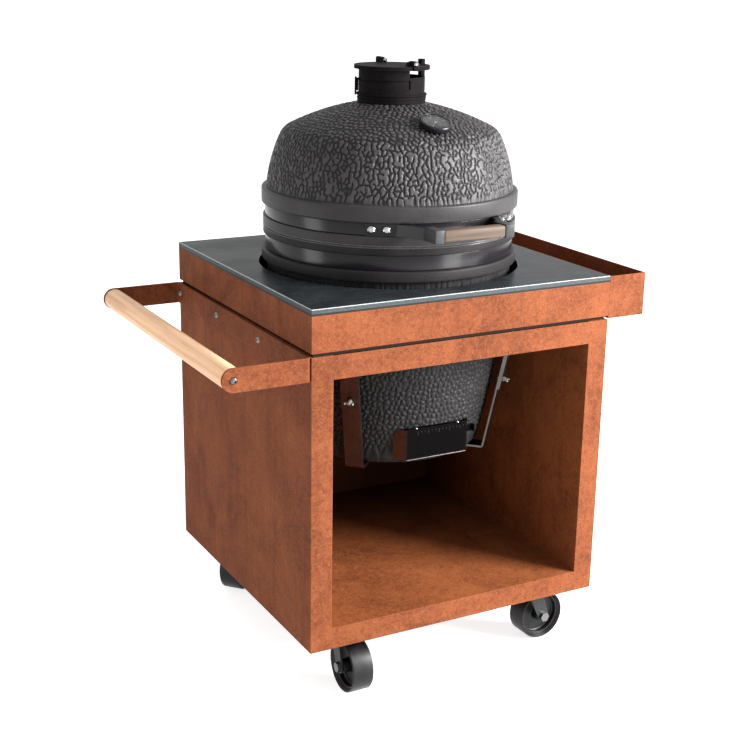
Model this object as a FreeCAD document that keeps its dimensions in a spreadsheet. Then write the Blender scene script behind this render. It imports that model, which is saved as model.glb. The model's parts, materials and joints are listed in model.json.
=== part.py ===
import FreeCAD, Part
import math
import os
import Sketcher

# A kamado grill in a square steel table on casters, in millimetres, +Z up.
# The origin is the middle of the whole object's outline, on the floor. +X is the tray's side,
# -X the push bar's side and -Y the open front.

doc = FreeCAD.newDocument("KamadoTable")
sheet = doc.addObject("Spreadsheet::Sheet", "Sizes")

SIZES = {
    # Table
    "table_side": 687,
    "steel_sheet": 2,
    "wall_width": 46,
    "cabinet_height": 612,
    "sill_height": 45,
    "lintel_height": 47.5,
    "gap_height": 7.5,
    "gap_recess": 6,
    "rim_height": 72.5,
    "rim_flange": 43.5,
    "worktop_thick": 13,
    "worktop_bevel": 1.2,
    "cutout_gap": 16,
    "plate_margin": 10,
    # Side tray
    "tray_width": 91.5,
    "tray_height": 90,
    "tray_drop": 1,
    "tray_seam": 0.5,
    # Push bar
    "handle_length": 180,
    "strip_height": 47,
    "strip_thick": 5,
    "strip_bend": 8,
    "bar_diameter": 45,
    "bar_drop": 22.5,
    "bar_bevel": 2,
    "web_bolt_pitch": 220,
    "web_bolt_inset": 16.5,
    # Bolts with a domed head
    "bolt_radius": 3.9,
    "bolt_head_radius": 8,
    "bolt_head_height": 5,
    "bolt_length": 14,
    "wood_screw_length": 38,
    # Casters
    "caster_height": 128,
    "caster_inset": 117.5,
    "caster_setback": 73.5,
    "caster_plate_side": 92,
    "caster_plate_thick": 3,
    "caster_plate_corner": 8,
    "caster_trail": 28,
    "race_radius": 29,
    "race_height": 10,
    "kingpin_radius": 5,
    "wheel_radius": 55,
    "wheel_width": 48,
    "tread_corner": 2.5,
    "wheel_rim": 11,
    "rim_flare": 3,
    "rim_depth": 9,
    "wheel_web": 8,
    "hub_radius": 15,
    "axle_radius": 6,
    "fork_thick": 4,
    "fork_gap": 1.5,
    "fork_width": 37,
    "fork_end_radius": 14,
    "axle_flats": 19,
    # Ceramic grill
    "grill_forward": 13,
    "grill_hang": 301,
    "ceramic_wall": 25,
    "base_height": 473,
    "base_foot_radius": 203,
    "base_corner": 10,
    "base_side_bulge": 2070,
    "base_inside_step": 16,
    "base_neck_step": 0.6,
    "ring_step": 10.1,
    "ring_bevel": 5,
    "base_ring_height": 23,
    "band_seat_radius": 261.4,
    "base_band_height": 31.5,
    "base_band_thick": 1.8,
    "base_lip_height": 15.5,
    "lip_step": 6.9,
    "mouth_depth": 21.4,
    "seam": 3,
    "gasket_inset": 4,
    "gasket_setback": 2.3,
    "dome_lip_height": 20,
    "dome_band_height": 25.5,
    "dome_band_thick": 2.7,
    "dome_ring_height": 33.5,
    "dome_side_height": 106,
    "shoulder_radius": 233,
    "dome_side_bulge": 330,
    "shoulder_rise": 23,
    "crown_start_radius": 208,
    "shoulder_bulge": 45,
    "crown_rise": 44.5,
    "crown_end_radius": 74,
    "crown_bulge": 555,
    "neck_radius": 66,
    "neck_rise": 13,
    "neck_bore": 50,
    # Straps under the grill
    "strap_width": 39,
    "strap_thick": 4,
    "strap_foot_step": 30,
    "strap_head_step": 4,
    "strap_toe_length": 38,
    "strap_flange": 34,
    "strap_bolt_rise": 152,
    "strap_slot_length": 80,
    "strap_lap": 97,
    "wing_span": 34,
    # Rear hinge
    "hinge_offset": 49.5,
    "hinge_drop": 3,
    "hinge_pin_radius": 5,
    "hinge_half_width": 70,
    "hinge_plate": 4,
    "hinge_ear_radius": 12,
    "hinge_half_angle": 23,
    "spring_thick": 4,
    "spring_start": 10,
    "spring_length": 42,
    # Grill handle
    "grip_distance": 78.6,
    "grip_half_width": 69.5,
    "grip_size": 23,
    "grip_corner": 4,
    "grip_rise": 3,
    "block_width": 20,
    "block_depth": 45,
    "block_height": 25,
    "block_overhang": 1,
    "block_bevel": 1.5,
    "arm_thick": 7,
    "arm_inset": 3,
    "arm_overlap": 5,
    "arm_foot_thick": 4,
    "arm_foot_start_angle": 24,
    "arm_foot_end_angle": 39,
    "arm_root_half_angle": 2,
    "near_nut_angle": 30,
    "far_nut_angle": 36.5,
    "nut_radius": 9,
    # Thermometer
    "dial_radius": 32.5,
    "dial_depth": 13,
    "dial_inset": 29.5,
    "bezel_width": 3.5,
    "dial_recess": 4,
    "lens_thick": 1,
    "stem_radius": 5,
    "probe_radius": 2.5,
    "probe_length": 75,
    "stem_length": 30,
    "bore_lead": 20,
    # Top vent
    "vent_radius": 69,
    "vent_wall": 2.7,
    "vent_skirt": 11.5,
    "vent_rise": 55.3,
    "vent_lid_radius": 78.7,
    "vent_lid_thick": 8,
    "vent_split": 11,
    "vent_window_height": 15,
    "vent_window_start_angle": -87,
    "vent_window_end_angle": 35,
    "slot_low": 31,
    "slot_height": 4.5,
    "slot_start_angle": 149,
    "slot_end_angle": 275,
    "notch_depth": 14,
    "lever_angle": 151,
    "lever_length": 77,
    "slide_wall": 2.5,
    "lug_width": 10,
    "lug_inner": 60,
    "lug_outer": 82,
    "lid_axis_rise": 5.2,
    "lid_pin_radius": 2.5,
    "lid_barrel_radius": 4,
    "lid_barrel_length": 11,
    "post_radius": 7.5,
    "post_place": 70.6,
    "collar_thick": 2,
    "collar_height": 17,
    # Draft opening
    "draft_half_width": 73,
    "draft_depth": 11,
    "draft_seat_step": 10,
    "draft_low": 17.5,
    "draft_height": 66.5,
    "draft_wing_run": 18,
    "draft_wing_depth": 26,
    "draft_window_half": 58,
    "draft_window_low": 30,
    "draft_window_height": 41,
    "draft_lip": 5,
    "draft_lip_thick": 1.4,
    "draft_end_wall": 1.5,
    "niche_side_gap": 5,
    "niche_low_gap": 2,
    "niche_high_gap": 3,
    "door_thick": 2,
    "door_tab": 16,
    "door_end_gap": 2,
    "door_tab_drop": 5,
    "door_tab_fold": 8,
    # Inside the grill
    "bowl_gap": 12,
    "bowl_mouth_gap": 21,
    "bowl_wall": 18,
    "bowl_height": 190,
    "fire_ring_height": 170,
    "fire_ring_step": 12,
    "ash_height": 62,
    "ash_arch_half": 52,
    "air_hole_radius": 60,
    "grate_thick": 8,
    "coal_slot": 16,
    "coal_slot_pitch": 30,
    "food_slot": 11,
    "food_slot_pitch": 18,
    "grate_rim": 10,
    # Fits
    "seat_gap": 0.3,
    "running_gap": 0.1,
}


def fill_sheet():
    """Puts every driving size in its own cell under its own name."""
    for row, (name, value) in enumerate(SIZES.items(), start=1):
        sheet.set("A%d" % row, name)
        sheet.set("B%d" % row, str(value))
        sheet.setAlias("B%d" % row, name)
    doc.recompute()


class Dim:
    """A length that carries the sheet formula it was worked out from beside its number."""

    def __init__(self, number, formula):
        self.number = float(number)
        self.formula = formula

    def __add__(self, other):
        return Dim(self.number + number(other), "(%s + %s)" % (self.formula, formula(other)))

    def __radd__(self, other):
        return Dim(number(other) + self.number, "(%s + %s)" % (formula(other), self.formula))

    def __sub__(self, other):
        return Dim(self.number - number(other), "(%s - %s)" % (self.formula, formula(other)))

    def __rsub__(self, other):
        return Dim(number(other) - self.number, "(%s - %s)" % (formula(other), self.formula))

    def __mul__(self, other):
        return Dim(self.number * number(other), "(%s * %s)" % (self.formula, formula(other)))

    def __rmul__(self, other):
        return Dim(number(other) * self.number, "(%s * %s)" % (formula(other), self.formula))

    def __truediv__(self, other):
        return Dim(self.number / number(other), "(%s / %s)" % (self.formula, formula(other)))

    def __neg__(self):
        return Dim(-self.number, "(0 - %s)" % self.formula)

    def root(self):
        return Dim(math.sqrt(self.number), "sqrt(%s)" % self.formula)


def number(value):
    return value.number if isinstance(value, Dim) else float(value)


def formula(value):
    return value.formula if isinstance(value, Dim) else "%.9g" % value


class SheetSizes:
    """Gives each cell of the sheet as a Dim, by its name."""

    def __getattr__(self, name):
        return Dim(float(sheet.get(name)), "Sizes.%s" % name)


fill_sheet()
size = SheetSizes()

# Lengths that several pieces share
half = size.table_side / 2
skin = half - size.steel_sheet
lining = half - size.wall_width
opening_top = size.cabinet_height - size.lintel_height
rim_bottom = size.cabinet_height + size.gap_height
rim_top = rim_bottom + size.rim_height
worktop_top = rim_top + size.worktop_thick
tray_top = worktop_top - size.tray_drop
bar_x = half + size.handle_length - size.strip_height / 2
bar_level = size.cabinet_height - size.bar_drop
grill_bottom = size.cabinet_height - size.grill_hang
base_top = grill_bottom + size.base_height
base_lip_bottom = base_top - size.base_lip_height
base_band_bottom = base_lip_bottom - size.base_band_height
base_ring_bottom = base_band_bottom - size.base_ring_height
dome_bottom = base_top + size.seam
dome_band_bottom = dome_bottom + size.dome_lip_height
dome_band_top = dome_band_bottom + size.dome_band_height
dome_ring_top = dome_band_top + size.dome_ring_height
shoulder_level = dome_ring_top + size.dome_side_height
crown_level = shoulder_level + size.shoulder_rise
crown_end_level = crown_level + size.crown_rise
neck_top = crown_end_level + size.neck_rise
ring_radius = size.band_seat_radius + size.ring_step
lip_radius = size.band_seat_radius + size.lip_step
mouth_radius = size.band_seat_radius - size.mouth_depth
base_neck_radius = size.band_seat_radius + size.base_neck_step
base_inside_middle = mouth_radius - size.base_inside_step
cutout_radius = base_neck_radius + size.cutout_gap
base_band_outer = size.band_seat_radius + size.seat_gap + size.base_band_thick
dome_band_outer = size.band_seat_radius + size.seat_gap + size.dome_band_thick
vent_lid_bottom = neck_top + size.vent_rise
vent_lid_top = vent_lid_bottom + size.vent_lid_thick
lid_axis_level = vent_lid_top + size.lid_axis_rise
hinge_y = base_band_outer + size.hinge_offset
hinge_level = dome_bottom + size.hinge_drop
grip_front = dome_band_outer + size.grip_distance
grip_bottom = dome_band_bottom + size.grip_rise
draft_seat = size.base_foot_radius + size.draft_seat_step
draft_front = draft_seat + size.draft_depth
draft_bottom = grill_bottom + size.draft_low
draft_top = draft_bottom + size.draft_height

# Frames: the middle of the cabinet's bottom, and the grill's axis at the same level
table_x = (size.handle_length - size.tray_width) / 2
table_y = (grip_front + size.grill_forward - half - size.bolt_head_height) / 2
TABLE = (table_x, table_y, size.caster_height)
GRILL = (table_x, table_y - size.grill_forward, size.caster_height)
UPRIGHT = FreeCAD.Rotation()
AXIS_X = FreeCAD.Vector(1, 0, 0)
AXIS_Y = FreeCAD.Vector(0, 1, 0)
AXIS_Z = FreeCAD.Vector(0, 0, 1)

nodes = {}


def bind(item, prop, value):
    """Ties a property to its sheet formula, if it has one."""
    if isinstance(value, Dim):
        item.setExpression(prop, value.formula)


def put(item, place, rotation=UPRIGHT):
    """Sets an object's Placement, with its position tied to the sheet."""
    item.Placement = FreeCAD.Placement(FreeCAD.Vector(*[number(c) for c in place]), rotation)
    for axis, coordinate in zip("xyz", place):
        bind(item, ".Placement.Base." + axis, coordinate)


def body(label, place, rotation=UPRIGHT):
    """A body that only helps: a bolt to be copied, or half of a pair."""
    made = doc.addObject("PartDesign::Body", label)
    made.Label = label
    put(made, place, rotation)
    return made


def node(label, place=TABLE, rotation=UPRIGHT):
    """A body that is a piece of the object in its own right."""
    made = body(label, place, rotation)
    nodes[label] = made
    return made


def group(label, members):
    """Several separate solids under one name."""
    made = doc.addObject("Part::Compound", label)
    made.Label = label
    made.Links = members
    nodes[label] = made
    return made


def copy_of(source, place, rotation=UPRIGHT):
    made = doc.addObject("App::Link", source.Label + "_copy")
    made.LinkedObject = source
    put(made, place, rotation)
    return made


def moved(frame, x=0, y=0, z=0):
    """A point given in a frame, as a place in the whole object."""
    return (frame[0] + x, frame[1] + y, frame[2] + z)


class Circle:
    def __init__(self, x, y, radius):
        self.x = x
        self.y = y
        self.radius = radius


def rect(x0, x1, y0, y1):
    return [(x0, y0), (x1, y0), (x1, y1), (x0, y1)]


def polar(radius, angle):
    """A point at an angle in degrees, measured from the first axis."""
    turn = math.radians(number(angle))
    return (radius * math.cos(turn), radius * math.sin(turn))


def sector(inner, outer, start, end):
    """A slice of a flat ring between two angles, less than half a turn."""
    return [polar(inner, start) + (-inner,), polar(outer, start), polar(outer, end) + (outer,),
            polar(inner, end)]


def hexagon(flats):
    """A hexagon round the origin, given across its flats."""
    corner = flats / math.sqrt(3)
    return [polar(corner, 60 * k) for k in range(6)]


def stadium_path(x, radius, low, high):
    """An upright slot with round ends; low and high are the centres of its ends."""
    return [(x + radius, low, radius), (x + radius, high), (x, high + radius, radius),
            (x - radius, high, radius), (x - radius, low), (x, low - radius, radius)]


def arc_segment(start, end, radius):
    """The short arc between two points; a positive radius turns left on the way."""
    (x0, y0), (x1, y1) = start, end
    chord = math.hypot(x1 - x0, y1 - y0)
    rise = math.sqrt(max(0.0, radius * radius - chord * chord / 4))
    side = 1 if radius > 0 else -1
    centre_x = (x0 + x1) / 2 - side * rise * (y1 - y0) / chord
    centre_y = (y0 + y1) / 2 + side * rise * (x1 - x0) / chord
    circle = Part.Circle(FreeCAD.Vector(centre_x, centre_y, 0), AXIS_Z, abs(radius))
    first = math.atan2(y0 - centre_y, x0 - centre_x)
    last = math.atan2(y1 - centre_y, x1 - centre_x)
    return Part.ArcOfCircle(circle, first, last) if side > 0 else Part.ArcOfCircle(circle, last, first)


def draw_circle(sketch, loop):
    centre = FreeCAD.Vector(number(loop.x), number(loop.y), 0)
    index = sketch.addGeometry(Part.Circle(centre, AXIS_Z, number(loop.radius)), False)
    add_constraints(sketch, [
        (Sketcher.Constraint("DistanceX", -1, 1, index, 3, centre.x), loop.x),
        (Sketcher.Constraint("DistanceY", -1, 1, index, 3, centre.y), loop.y),
        (Sketcher.Constraint("Radius", index, number(loop.radius)), loop.radius)])


def add_constraints(sketch, pairs):
    """Adds constraints together with the sizes they are tied to."""
    first = sketch.ConstraintCount
    sketch.addConstraint([constraint for constraint, value in pairs])
    for offset, (constraint, value) in enumerate(pairs):
        bind(sketch, "Constraints[%d]" % (first + offset), value)


def draw_path(sketch, path):
    """A closed outline. Each point is (x, y), or (x, y, radius) where an arc leads to it."""
    points = [(number(p[0]), number(p[1])) for p in path]
    count = len(path)
    pairs = []
    ends = []
    for k in range(count):
        after = (k + 1) % count
        radius = path[after][2] if len(path[after]) > 2 else None
        if radius is None:
            start = FreeCAD.Vector(points[k][0], points[k][1], 0)
            end = FreeCAD.Vector(points[after][0], points[after][1], 0)
            index = sketch.addGeometry(Part.LineSegment(start, end), False)
            ends.append((index, 1, 2))
        else:
            index = sketch.addGeometry(arc_segment(points[k], points[after], number(radius)), False)
            ends.append((index, 1, 2) if number(radius) > 0 else (index, 2, 1))
            size_of_arc = radius if number(radius) > 0 else -radius
            pairs.append((Sketcher.Constraint("Radius", index, abs(number(radius))), size_of_arc))
    for k in range(count):
        index, start, end = ends[k]
        following, following_start, following_end = ends[(k + 1) % count]
        pairs.append((Sketcher.Constraint("Coincident", index, end, following, following_start), None))
        pairs.append((Sketcher.Constraint("DistanceX", -1, 1, index, start, points[k][0]), path[k][0]))
        pairs.append((Sketcher.Constraint("DistanceY", -1, 1, index, start, points[k][1]), path[k][1]))
    add_constraints(sketch, pairs)


def fill_sketch(sketch, loops):
    for loop in loops:
        if isinstance(loop, Circle):
            draw_circle(sketch, loop)
        else:
            draw_path(sketch, loop)


def draw(owner, plane, loops, level=0):
    """A sketch on one of the body's origin planes, moved along the plane's axis to a level."""
    sketch = owner.newObject("Sketcher::SketchObject", "Outline")
    planes = [item for item in owner.Origin.OriginFeatures if item.Role == plane + "_Plane"]
    sketch.AttachmentSupport = [(planes[0], "")]
    sketch.MapMode = "FlatFace"
    along = -level if plane == "XZ" else level
    sketch.AttachmentOffset = FreeCAD.Placement(FreeCAD.Vector(0, 0, number(along)), UPRIGHT)
    bind(sketch, "AttachmentOffset.Base.z", along)
    fill_sketch(sketch, loops)
    return sketch


def feature(owner, kind, sketch):
    made = owner.newObject("PartDesign::" + kind, kind)
    made.Profile = sketch
    return made


def add(owner, plane, loops, low, high):
    """Material between two levels along the plane's axis."""
    pad = feature(owner, "Pad", draw(owner, plane, loops, low))
    pad.Length = number(high - low)
    bind(pad, "Length", high - low)
    pad.Reversed = plane == "XZ"
    return pad


def cut(owner, plane, loops, low, high):
    """Takes away what lies between two levels along the plane's axis."""
    pocket = feature(owner, "Pocket", draw(owner, plane, loops, low))
    pocket.Length = number(high - low)
    bind(pocket, "Length", high - low)
    pocket.Reversed = plane != "XZ"
    return pocket


def turn(owner, *loops):
    """A shape turned round the body's Z axis from outlines given as (radius, height)."""
    sketch = draw(owner, "XZ", loops)
    made = feature(owner, "Revolution", sketch)
    made.ReferenceAxis = (sketch, ["V_Axis"])
    made.Angle = 360
    return made


def turn_away(owner, *loops):
    sketch = draw(owner, "XZ", loops)
    made = feature(owner, "Groove", sketch)
    made.ReferenceAxis = (sketch, ["V_Axis"])
    made.Angle = 360
    return made


def bore(owner, mouth, direction, radius, depth):
    """A round hole from a point inwards, against the direction that its mouth faces."""
    sketch = owner.newObject("Sketcher::SketchObject", "Bore")
    planes = [item for item in owner.Origin.OriginFeatures if item.Role == "XY_Plane"]
    sketch.AttachmentSupport = [(planes[0], "")]
    sketch.MapMode = "FlatFace"
    facing = FreeCAD.Rotation(AXIS_Z, FreeCAD.Vector(*direction))
    place = FreeCAD.Vector(*[number(c) for c in mouth])
    sketch.AttachmentOffset = FreeCAD.Placement(place, facing)
    for axis, coordinate in zip("xyz", mouth):
        bind(sketch, "AttachmentOffset.Base." + axis, coordinate)
    fill_sketch(sketch, [Circle(0, 0, radius)])
    pocket = feature(owner, "Pocket", sketch)
    pocket.Length = number(depth)
    bind(pocket, "Length", depth)
    return pocket


def dress(owner, kind, amount, choose):
    """A Fillet or Chamfer on the edges of the body's last feature that choose() picks."""
    doc.recompute()
    base = owner.Tip
    names = ["Edge%d" % (k + 1) for k, edge in enumerate(base.Shape.Edges) if choose(edge)]
    made = owner.newObject("PartDesign::" + kind, kind)
    made.Base = (base, names)
    prop = "Radius" if kind == "Fillet" else "Size"
    setattr(made, prop, number(amount))
    bind(made, prop, amount)
    return made


def edge_spans(edge):
    box = edge.BoundBox
    return box.XLength, box.YLength, box.ZLength


def is_near(value, target):
    return abs(value - number(target)) < 0.05


def runs_along(edge, axis):
    """True for a straight edge along the given axis (0, 1 or 2)."""
    spans = edge_spans(edge)
    return spans[axis] > 0.5 and all(spans[k] < 0.01 for k in range(3) if k != axis)


def mirrored_group(label, half_body):
    """A piece and its mirror image across the YZ plane of the grill's frame."""
    twin = doc.addObject("Part::Mirroring", label + "_twin")
    twin.Source = half_body
    twin.Normal = AXIS_X
    twin.Base = FreeCAD.Vector(number(table_x), 0, 0)
    bind(twin, ".Base.x", table_x)
    return group(label, [half_body, twin])


# Bolts and nuts that are copied to their places. Each stands on Z = 0 with its head above it.

def domed_head(radius):
    """Half of a head's outline: flat underneath and domed in two slopes on top."""
    height = size.bolt_head_height
    return [(0, 0), (radius, 0), (radius * 0.85, height * 0.55), (radius * 0.4, height), (0, height)]


def domed_bolt(label, length, head_radius=size.bolt_head_radius, shaft_radius=size.bolt_radius):
    bolt = body(label, (0, 0, 0))
    turn(bolt, domed_head(head_radius))
    add(bolt, "XY", [Circle(0, 0, shaft_radius)], -length, 0)
    return bolt


M8_HOLE = size.bolt_radius + size.seat_gap

short_bolt = domed_bolt("short_bolt", size.bolt_length)
wood_screw = domed_bolt("wood_screw", size.wood_screw_length)
strap_bolt = domed_bolt("strap_bolt", 2 * size.strap_thick)


# Cabinet: skins outside, a lining flush with the opening inside

def cabinet_front_frame():
    frame = node("cabinet_front_frame")
    add(frame, "XZ", [rect(-half, half, 0, size.cabinet_height),
                      rect(-lining, lining, size.sill_height, opening_top)], -half, -skin)


def web_bolt_places():
    """Where the push bar's strip is bolted to the left skin, along Y."""
    far = half - size.web_bolt_inset
    near = size.web_bolt_pitch / 2
    return [-far, -near, near, far]


def cabinet_left_panel():
    panel = node("cabinet_left_panel")
    add(panel, "YZ", [rect(-skin, skin, 0, size.cabinet_height)], -half, -skin)
    for y in web_bolt_places():
        cut(panel, "YZ", [Circle(y, bar_level, M8_HOLE)], -half, -skin)


def cabinet_right_panel():
    panel = node("cabinet_right_panel")
    add(panel, "YZ", [rect(-skin, skin, 0, size.cabinet_height)], skin, half)


def cabinet_back_panel():
    panel = node("cabinet_back_panel")
    add(panel, "XZ", [rect(-half, half, 0, size.cabinet_height)], skin, half)


def caster_spots():
    """The four swivel axes in the table's frame: name, x, y, heading of the trailing wheel."""
    x = half - size.caster_inset
    y = half - size.caster_setback
    return [("front_left", -x, -y, -91), ("front_right", x, -y, 2),
            ("back_left", -x, y, 221), ("back_right", x, y, 160)]


def cabinet_bottom_panel():
    panel = node("cabinet_bottom_panel")
    add(panel, "XY", [rect(-skin, skin, -skin, skin)], 0, size.steel_sheet)


def cabinet_liner():
    liner = node("cabinet_liner")
    outer = lining + size.steel_sheet
    floor = size.sill_height - size.steel_sheet
    add(liner, "XY", [rect(-outer, outer, -skin, outer)], floor, size.cabinet_height)
    cut(liner, "XY", [rect(-lining, lining, -half, lining)], size.sill_height, size.cabinet_height)
    flange = [(-skin, -skin), (-lining, -skin), (-lining, lining), (lining, lining), (lining, -skin),
              (skin, -skin), (skin, skin), (-skin, skin)]
    add(liner, "XY", [flange], size.cabinet_height - size.steel_sheet, size.cabinet_height)


# Top: support plate in the dark gap, rim, worktop, tray

def strap_angles():
    return [("back_right", 45), ("back_left", 135), ("front_left", 225), ("front_right", 315)]


def support_frame():
    plate = node("support_frame")
    reach = half - size.gap_recess
    opening = Circle(0, -size.grill_forward, cutout_radius + size.plate_margin)
    add(plate, "XY", [rect(-reach, reach, -reach, reach), opening], size.cabinet_height, rim_bottom)


def top_rim():
    rim = node("top_rim")
    inner = half - size.rim_flange
    add(rim, "XY", [rect(-half, half, -half, half), rect(-inner, inner, -inner, inner)],
        rim_bottom, rim_top)
    cut(rim, "XY", [rect(-skin, skin, -skin, skin)],
        rim_bottom + size.steel_sheet, rim_top - size.steel_sheet)


def worktop():
    slab = node("worktop")
    add(slab, "XY", [rect(-half, half, -half, half),
                     Circle(0, -size.grill_forward, cutout_radius)], rim_top, worktop_top)
    dress(slab, "Chamfer", size.worktop_bevel,
          lambda edge: is_near(edge.BoundBox.ZMin, worktop_top) and is_near(edge.BoundBox.ZMax, worktop_top))


def side_tray():
    tray = node("side_tray")
    near = half + size.tray_seam
    far = half + size.tray_width
    bottom = tray_top - size.tray_height
    wall = size.steel_sheet
    add(tray, "XY", [rect(near, far, -half, half)], bottom, tray_top)
    cut(tray, "XY", [rect(near + wall, far - wall, wall - half, half - wall)], bottom + wall, tray_top)


# Push bar on the left

def handle_bracket():
    strip = node("handle_bracket")
    reach = size.strip_height / 2
    low = bar_level - reach
    high = bar_level + reach
    arm = [(-half, low), (-half, high), (-bar_x, high), (-bar_x - reach, bar_level, reach),
           (-bar_x, low, reach)]
    inside = half - size.strip_thick
    add(strip, "XZ", [arm], -half, -inside)
    add(strip, "XZ", [arm], inside, half)
    add(strip, "XY", [rect(-half - size.strip_thick, -half, -half, half)], low, high)
    for y in web_bolt_places():
        cut(strip, "YZ", [Circle(y, bar_level, M8_HOLE)], -half - size.strip_thick, -half)
    for y in (-half, inside):
        cut(strip, "XZ", [Circle(-bar_x, bar_level, M8_HOLE)], y, y + size.strip_thick)
    inner_x = -half - size.strip_thick
    dress(strip, "Fillet", size.strip_bend,
          lambda edge: runs_along(edge, 2) and is_near(edge.BoundBox.XMin, -half)
          and is_near(abs(edge.BoundBox.YMin), half))
    dress(strip, "Fillet", size.strip_bend - size.strip_thick,
          lambda edge: runs_along(edge, 2) and is_near(edge.BoundBox.XMin, inner_x)
          and is_near(abs(edge.BoundBox.YMin), inside))


def handle_bar():
    bar = node("handle_bar")
    reach = half - size.strip_thick
    add(bar, "XZ", [Circle(-bar_x, bar_level, size.bar_diameter / 2)], -reach, reach)
    depth = size.wood_screw_length
    for low, high in ((-reach, depth - reach), (reach - depth, reach)):
        cut(bar, "XZ", [Circle(-bar_x, bar_level, size.bolt_radius + size.running_gap)], low, high)
    round_end = size.bar_diameter.number / 2
    dress(bar, "Chamfer", size.bar_bevel,
          lambda edge: is_near(abs(edge.BoundBox.YMin), reach) and edge_spans(edge)[0] > round_end)


def table_bolts():
    """Bolts that hold the push bar's strip to the cabinet and the wooden bar in the strip."""
    outward = FreeCAD.Rotation(AXIS_Z, -AXIS_X)
    members = []
    web_face = -half - size.strip_thick
    for y in web_bolt_places():
        members.append(copy_of(short_bolt, moved(TABLE, web_face, y, bar_level), outward))
    for side in (-1, 1):
        facing = FreeCAD.Rotation(AXIS_Z, side * AXIS_Y)
        members.append(copy_of(wood_screw, moved(TABLE, -bar_x, side * half, bar_level), facing))
    group("table_bolts", members)


# Casters

fork_half = size.wheel_width / 2 + size.fork_gap
race_top = size.caster_height - size.caster_plate_thick
fork_top = race_top - size.race_height / 2
fork_plate = fork_top - size.fork_thick
PIN_HEAD_HEIGHT = 4
PIN_HEAD_RADIUS = 8
AXLE_HEAD = 7


def caster_plate(name, x, y):
    """The plate with the fixed half of the ball race and the pin that the fork turns on."""
    plate = node("caster_%s_plate" % name, moved((table_x, table_y, 0), x, y))
    reach = size.caster_plate_side / 2
    corner = size.caster_plate_corner
    add(plate, "XY", [rect(-reach, reach, -reach, reach)], race_top, size.caster_height)
    dress(plate, "Chamfer", corner,
          lambda edge: runs_along(edge, 2) and is_near(abs(edge.BoundBox.XMin), reach))
    race_low = fork_top + size.seat_gap
    pin = size.kingpin_radius
    head_top = fork_plate - size.seat_gap
    turn(plate, [(0, head_top - PIN_HEAD_HEIGHT), (PIN_HEAD_RADIUS, head_top - PIN_HEAD_HEIGHT),
                 (PIN_HEAD_RADIUS, head_top), (pin, head_top), (pin, race_low),
                 (size.race_radius - 3, race_low), (size.race_radius - 3, race_top), (0, race_top)])


def caster_fork(name, x, y, heading):
    """The fork's wheel trails along the local +X axis, which is turned to the heading."""
    turned = FreeCAD.Rotation(AXIS_Z, heading)
    place = moved((table_x, table_y, 0), x, y)
    fork = body("fork_" + name, place, turned)
    outer = fork_half + size.fork_thick
    front = size.fork_width - size.race_radius / 2
    back = -size.race_radius / 2
    axle = size.caster_trail
    foot = size.fork_end_radius
    level = size.wheel_radius
    pin_hole = size.kingpin_radius + size.running_gap
    turn(fork, rect(pin_hole, size.race_radius, fork_plate, fork_top))
    deck = [rect(back, front, -outer, outer), Circle(0, 0, pin_hole)]
    add(fork, "XY", deck, fork_plate, fork_plate + size.fork_thick - 1)
    leg = [(axle + foot, level, foot), (front, fork_plate + 1), (back, fork_plate + 1),
           (axle - foot, level), (axle, level - foot, foot)]
    for low, high in ((-outer, -fork_half), (fork_half, outer)):
        add(fork, "XZ", [leg], low, high)
        cut(fork, "XZ", [Circle(axle, level, size.axle_radius + size.seat_gap)], low, high)
    across = turned.multiply(FreeCAD.Rotation(AXIS_X, -90))
    axle_x, axle_y = polar(axle, heading)
    side_x, side_y = polar(outer, heading + 90)
    head = (place[0] + axle_x + side_x, place[1] + axle_y + side_y, level)
    group("caster_%s_fork" % name, [fork, copy_of(axle_bolt, head, across)])


def caster_wheel(name, x, y, heading):
    """A wheel whose web lies deep between the hub and the rim, with a flared rim on each side."""
    axle_x, axle_y = polar(size.caster_trail, heading)
    rotation = FreeCAD.Rotation(AXIS_Z, heading).multiply(FreeCAD.Rotation(AXIS_X, 90))
    place = (table_x + x + axle_x, table_y + y + axle_y, size.wheel_radius)
    wheel = node("caster_%s_wheel" % name, place, rotation)
    hole = size.axle_radius + size.running_gap
    side = size.wheel_width / 2
    tread = size.wheel_radius
    corner = size.tread_corner
    rim = tread - size.wheel_rim
    flare = rim + size.rim_flare
    ledge = side - size.rim_depth
    web = size.wheel_web / 2
    hub = size.hub_radius
    half_wheel = [(hole, side), (hub, side), (hub, web), (rim, web), (rim, ledge), (flare, ledge),
                  (tread - corner, side), (tread, side - corner)]
    turn(wheel, half_wheel + [(radius, -level) for radius, level in reversed(half_wheel)])


def double_headed_bolt(label, length, flats, head_height, shaft_radius):
    """A hexagon bolt with its nut already on the far end of its shaft."""
    bolt = body(label, (0, 0, 0))
    add(bolt, "XY", [hexagon(flats)], 0, head_height)
    add(bolt, "XY", [Circle(0, 0, shaft_radius)], -length, 0)
    add(bolt, "XY", [hexagon(flats)], -length - head_height, -length)
    return bolt


axle_bolt = double_headed_bolt("axle_bolt", 2 * (fork_half + size.fork_thick), size.axle_flats, AXLE_HEAD,
                               size.axle_radius)


def casters():
    for name, x, y, heading in caster_spots():
        caster_plate(name, x, y)
        caster_fork(name, x, y, heading)
        caster_wheel(name, x, y, heading)


# Straps: an outer piece with a slot hangs from the plate, an inner piece folds in under the grill

strap_foot_radius = size.base_foot_radius + size.strap_foot_step
strap_toe_radius = size.base_foot_radius - size.strap_toe_length
strap_head_radius = cutout_radius + size.plate_margin + size.strap_head_step
lean = (strap_head_radius - strap_foot_radius) / size.grill_hang
ply = size.strap_thick * (lean * lean + 1).root()
strap_bolt_level = grill_bottom + size.strap_bolt_rise
WING_HALF_THICK = 1.5
WING_HUB_HEIGHT = 9


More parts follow.
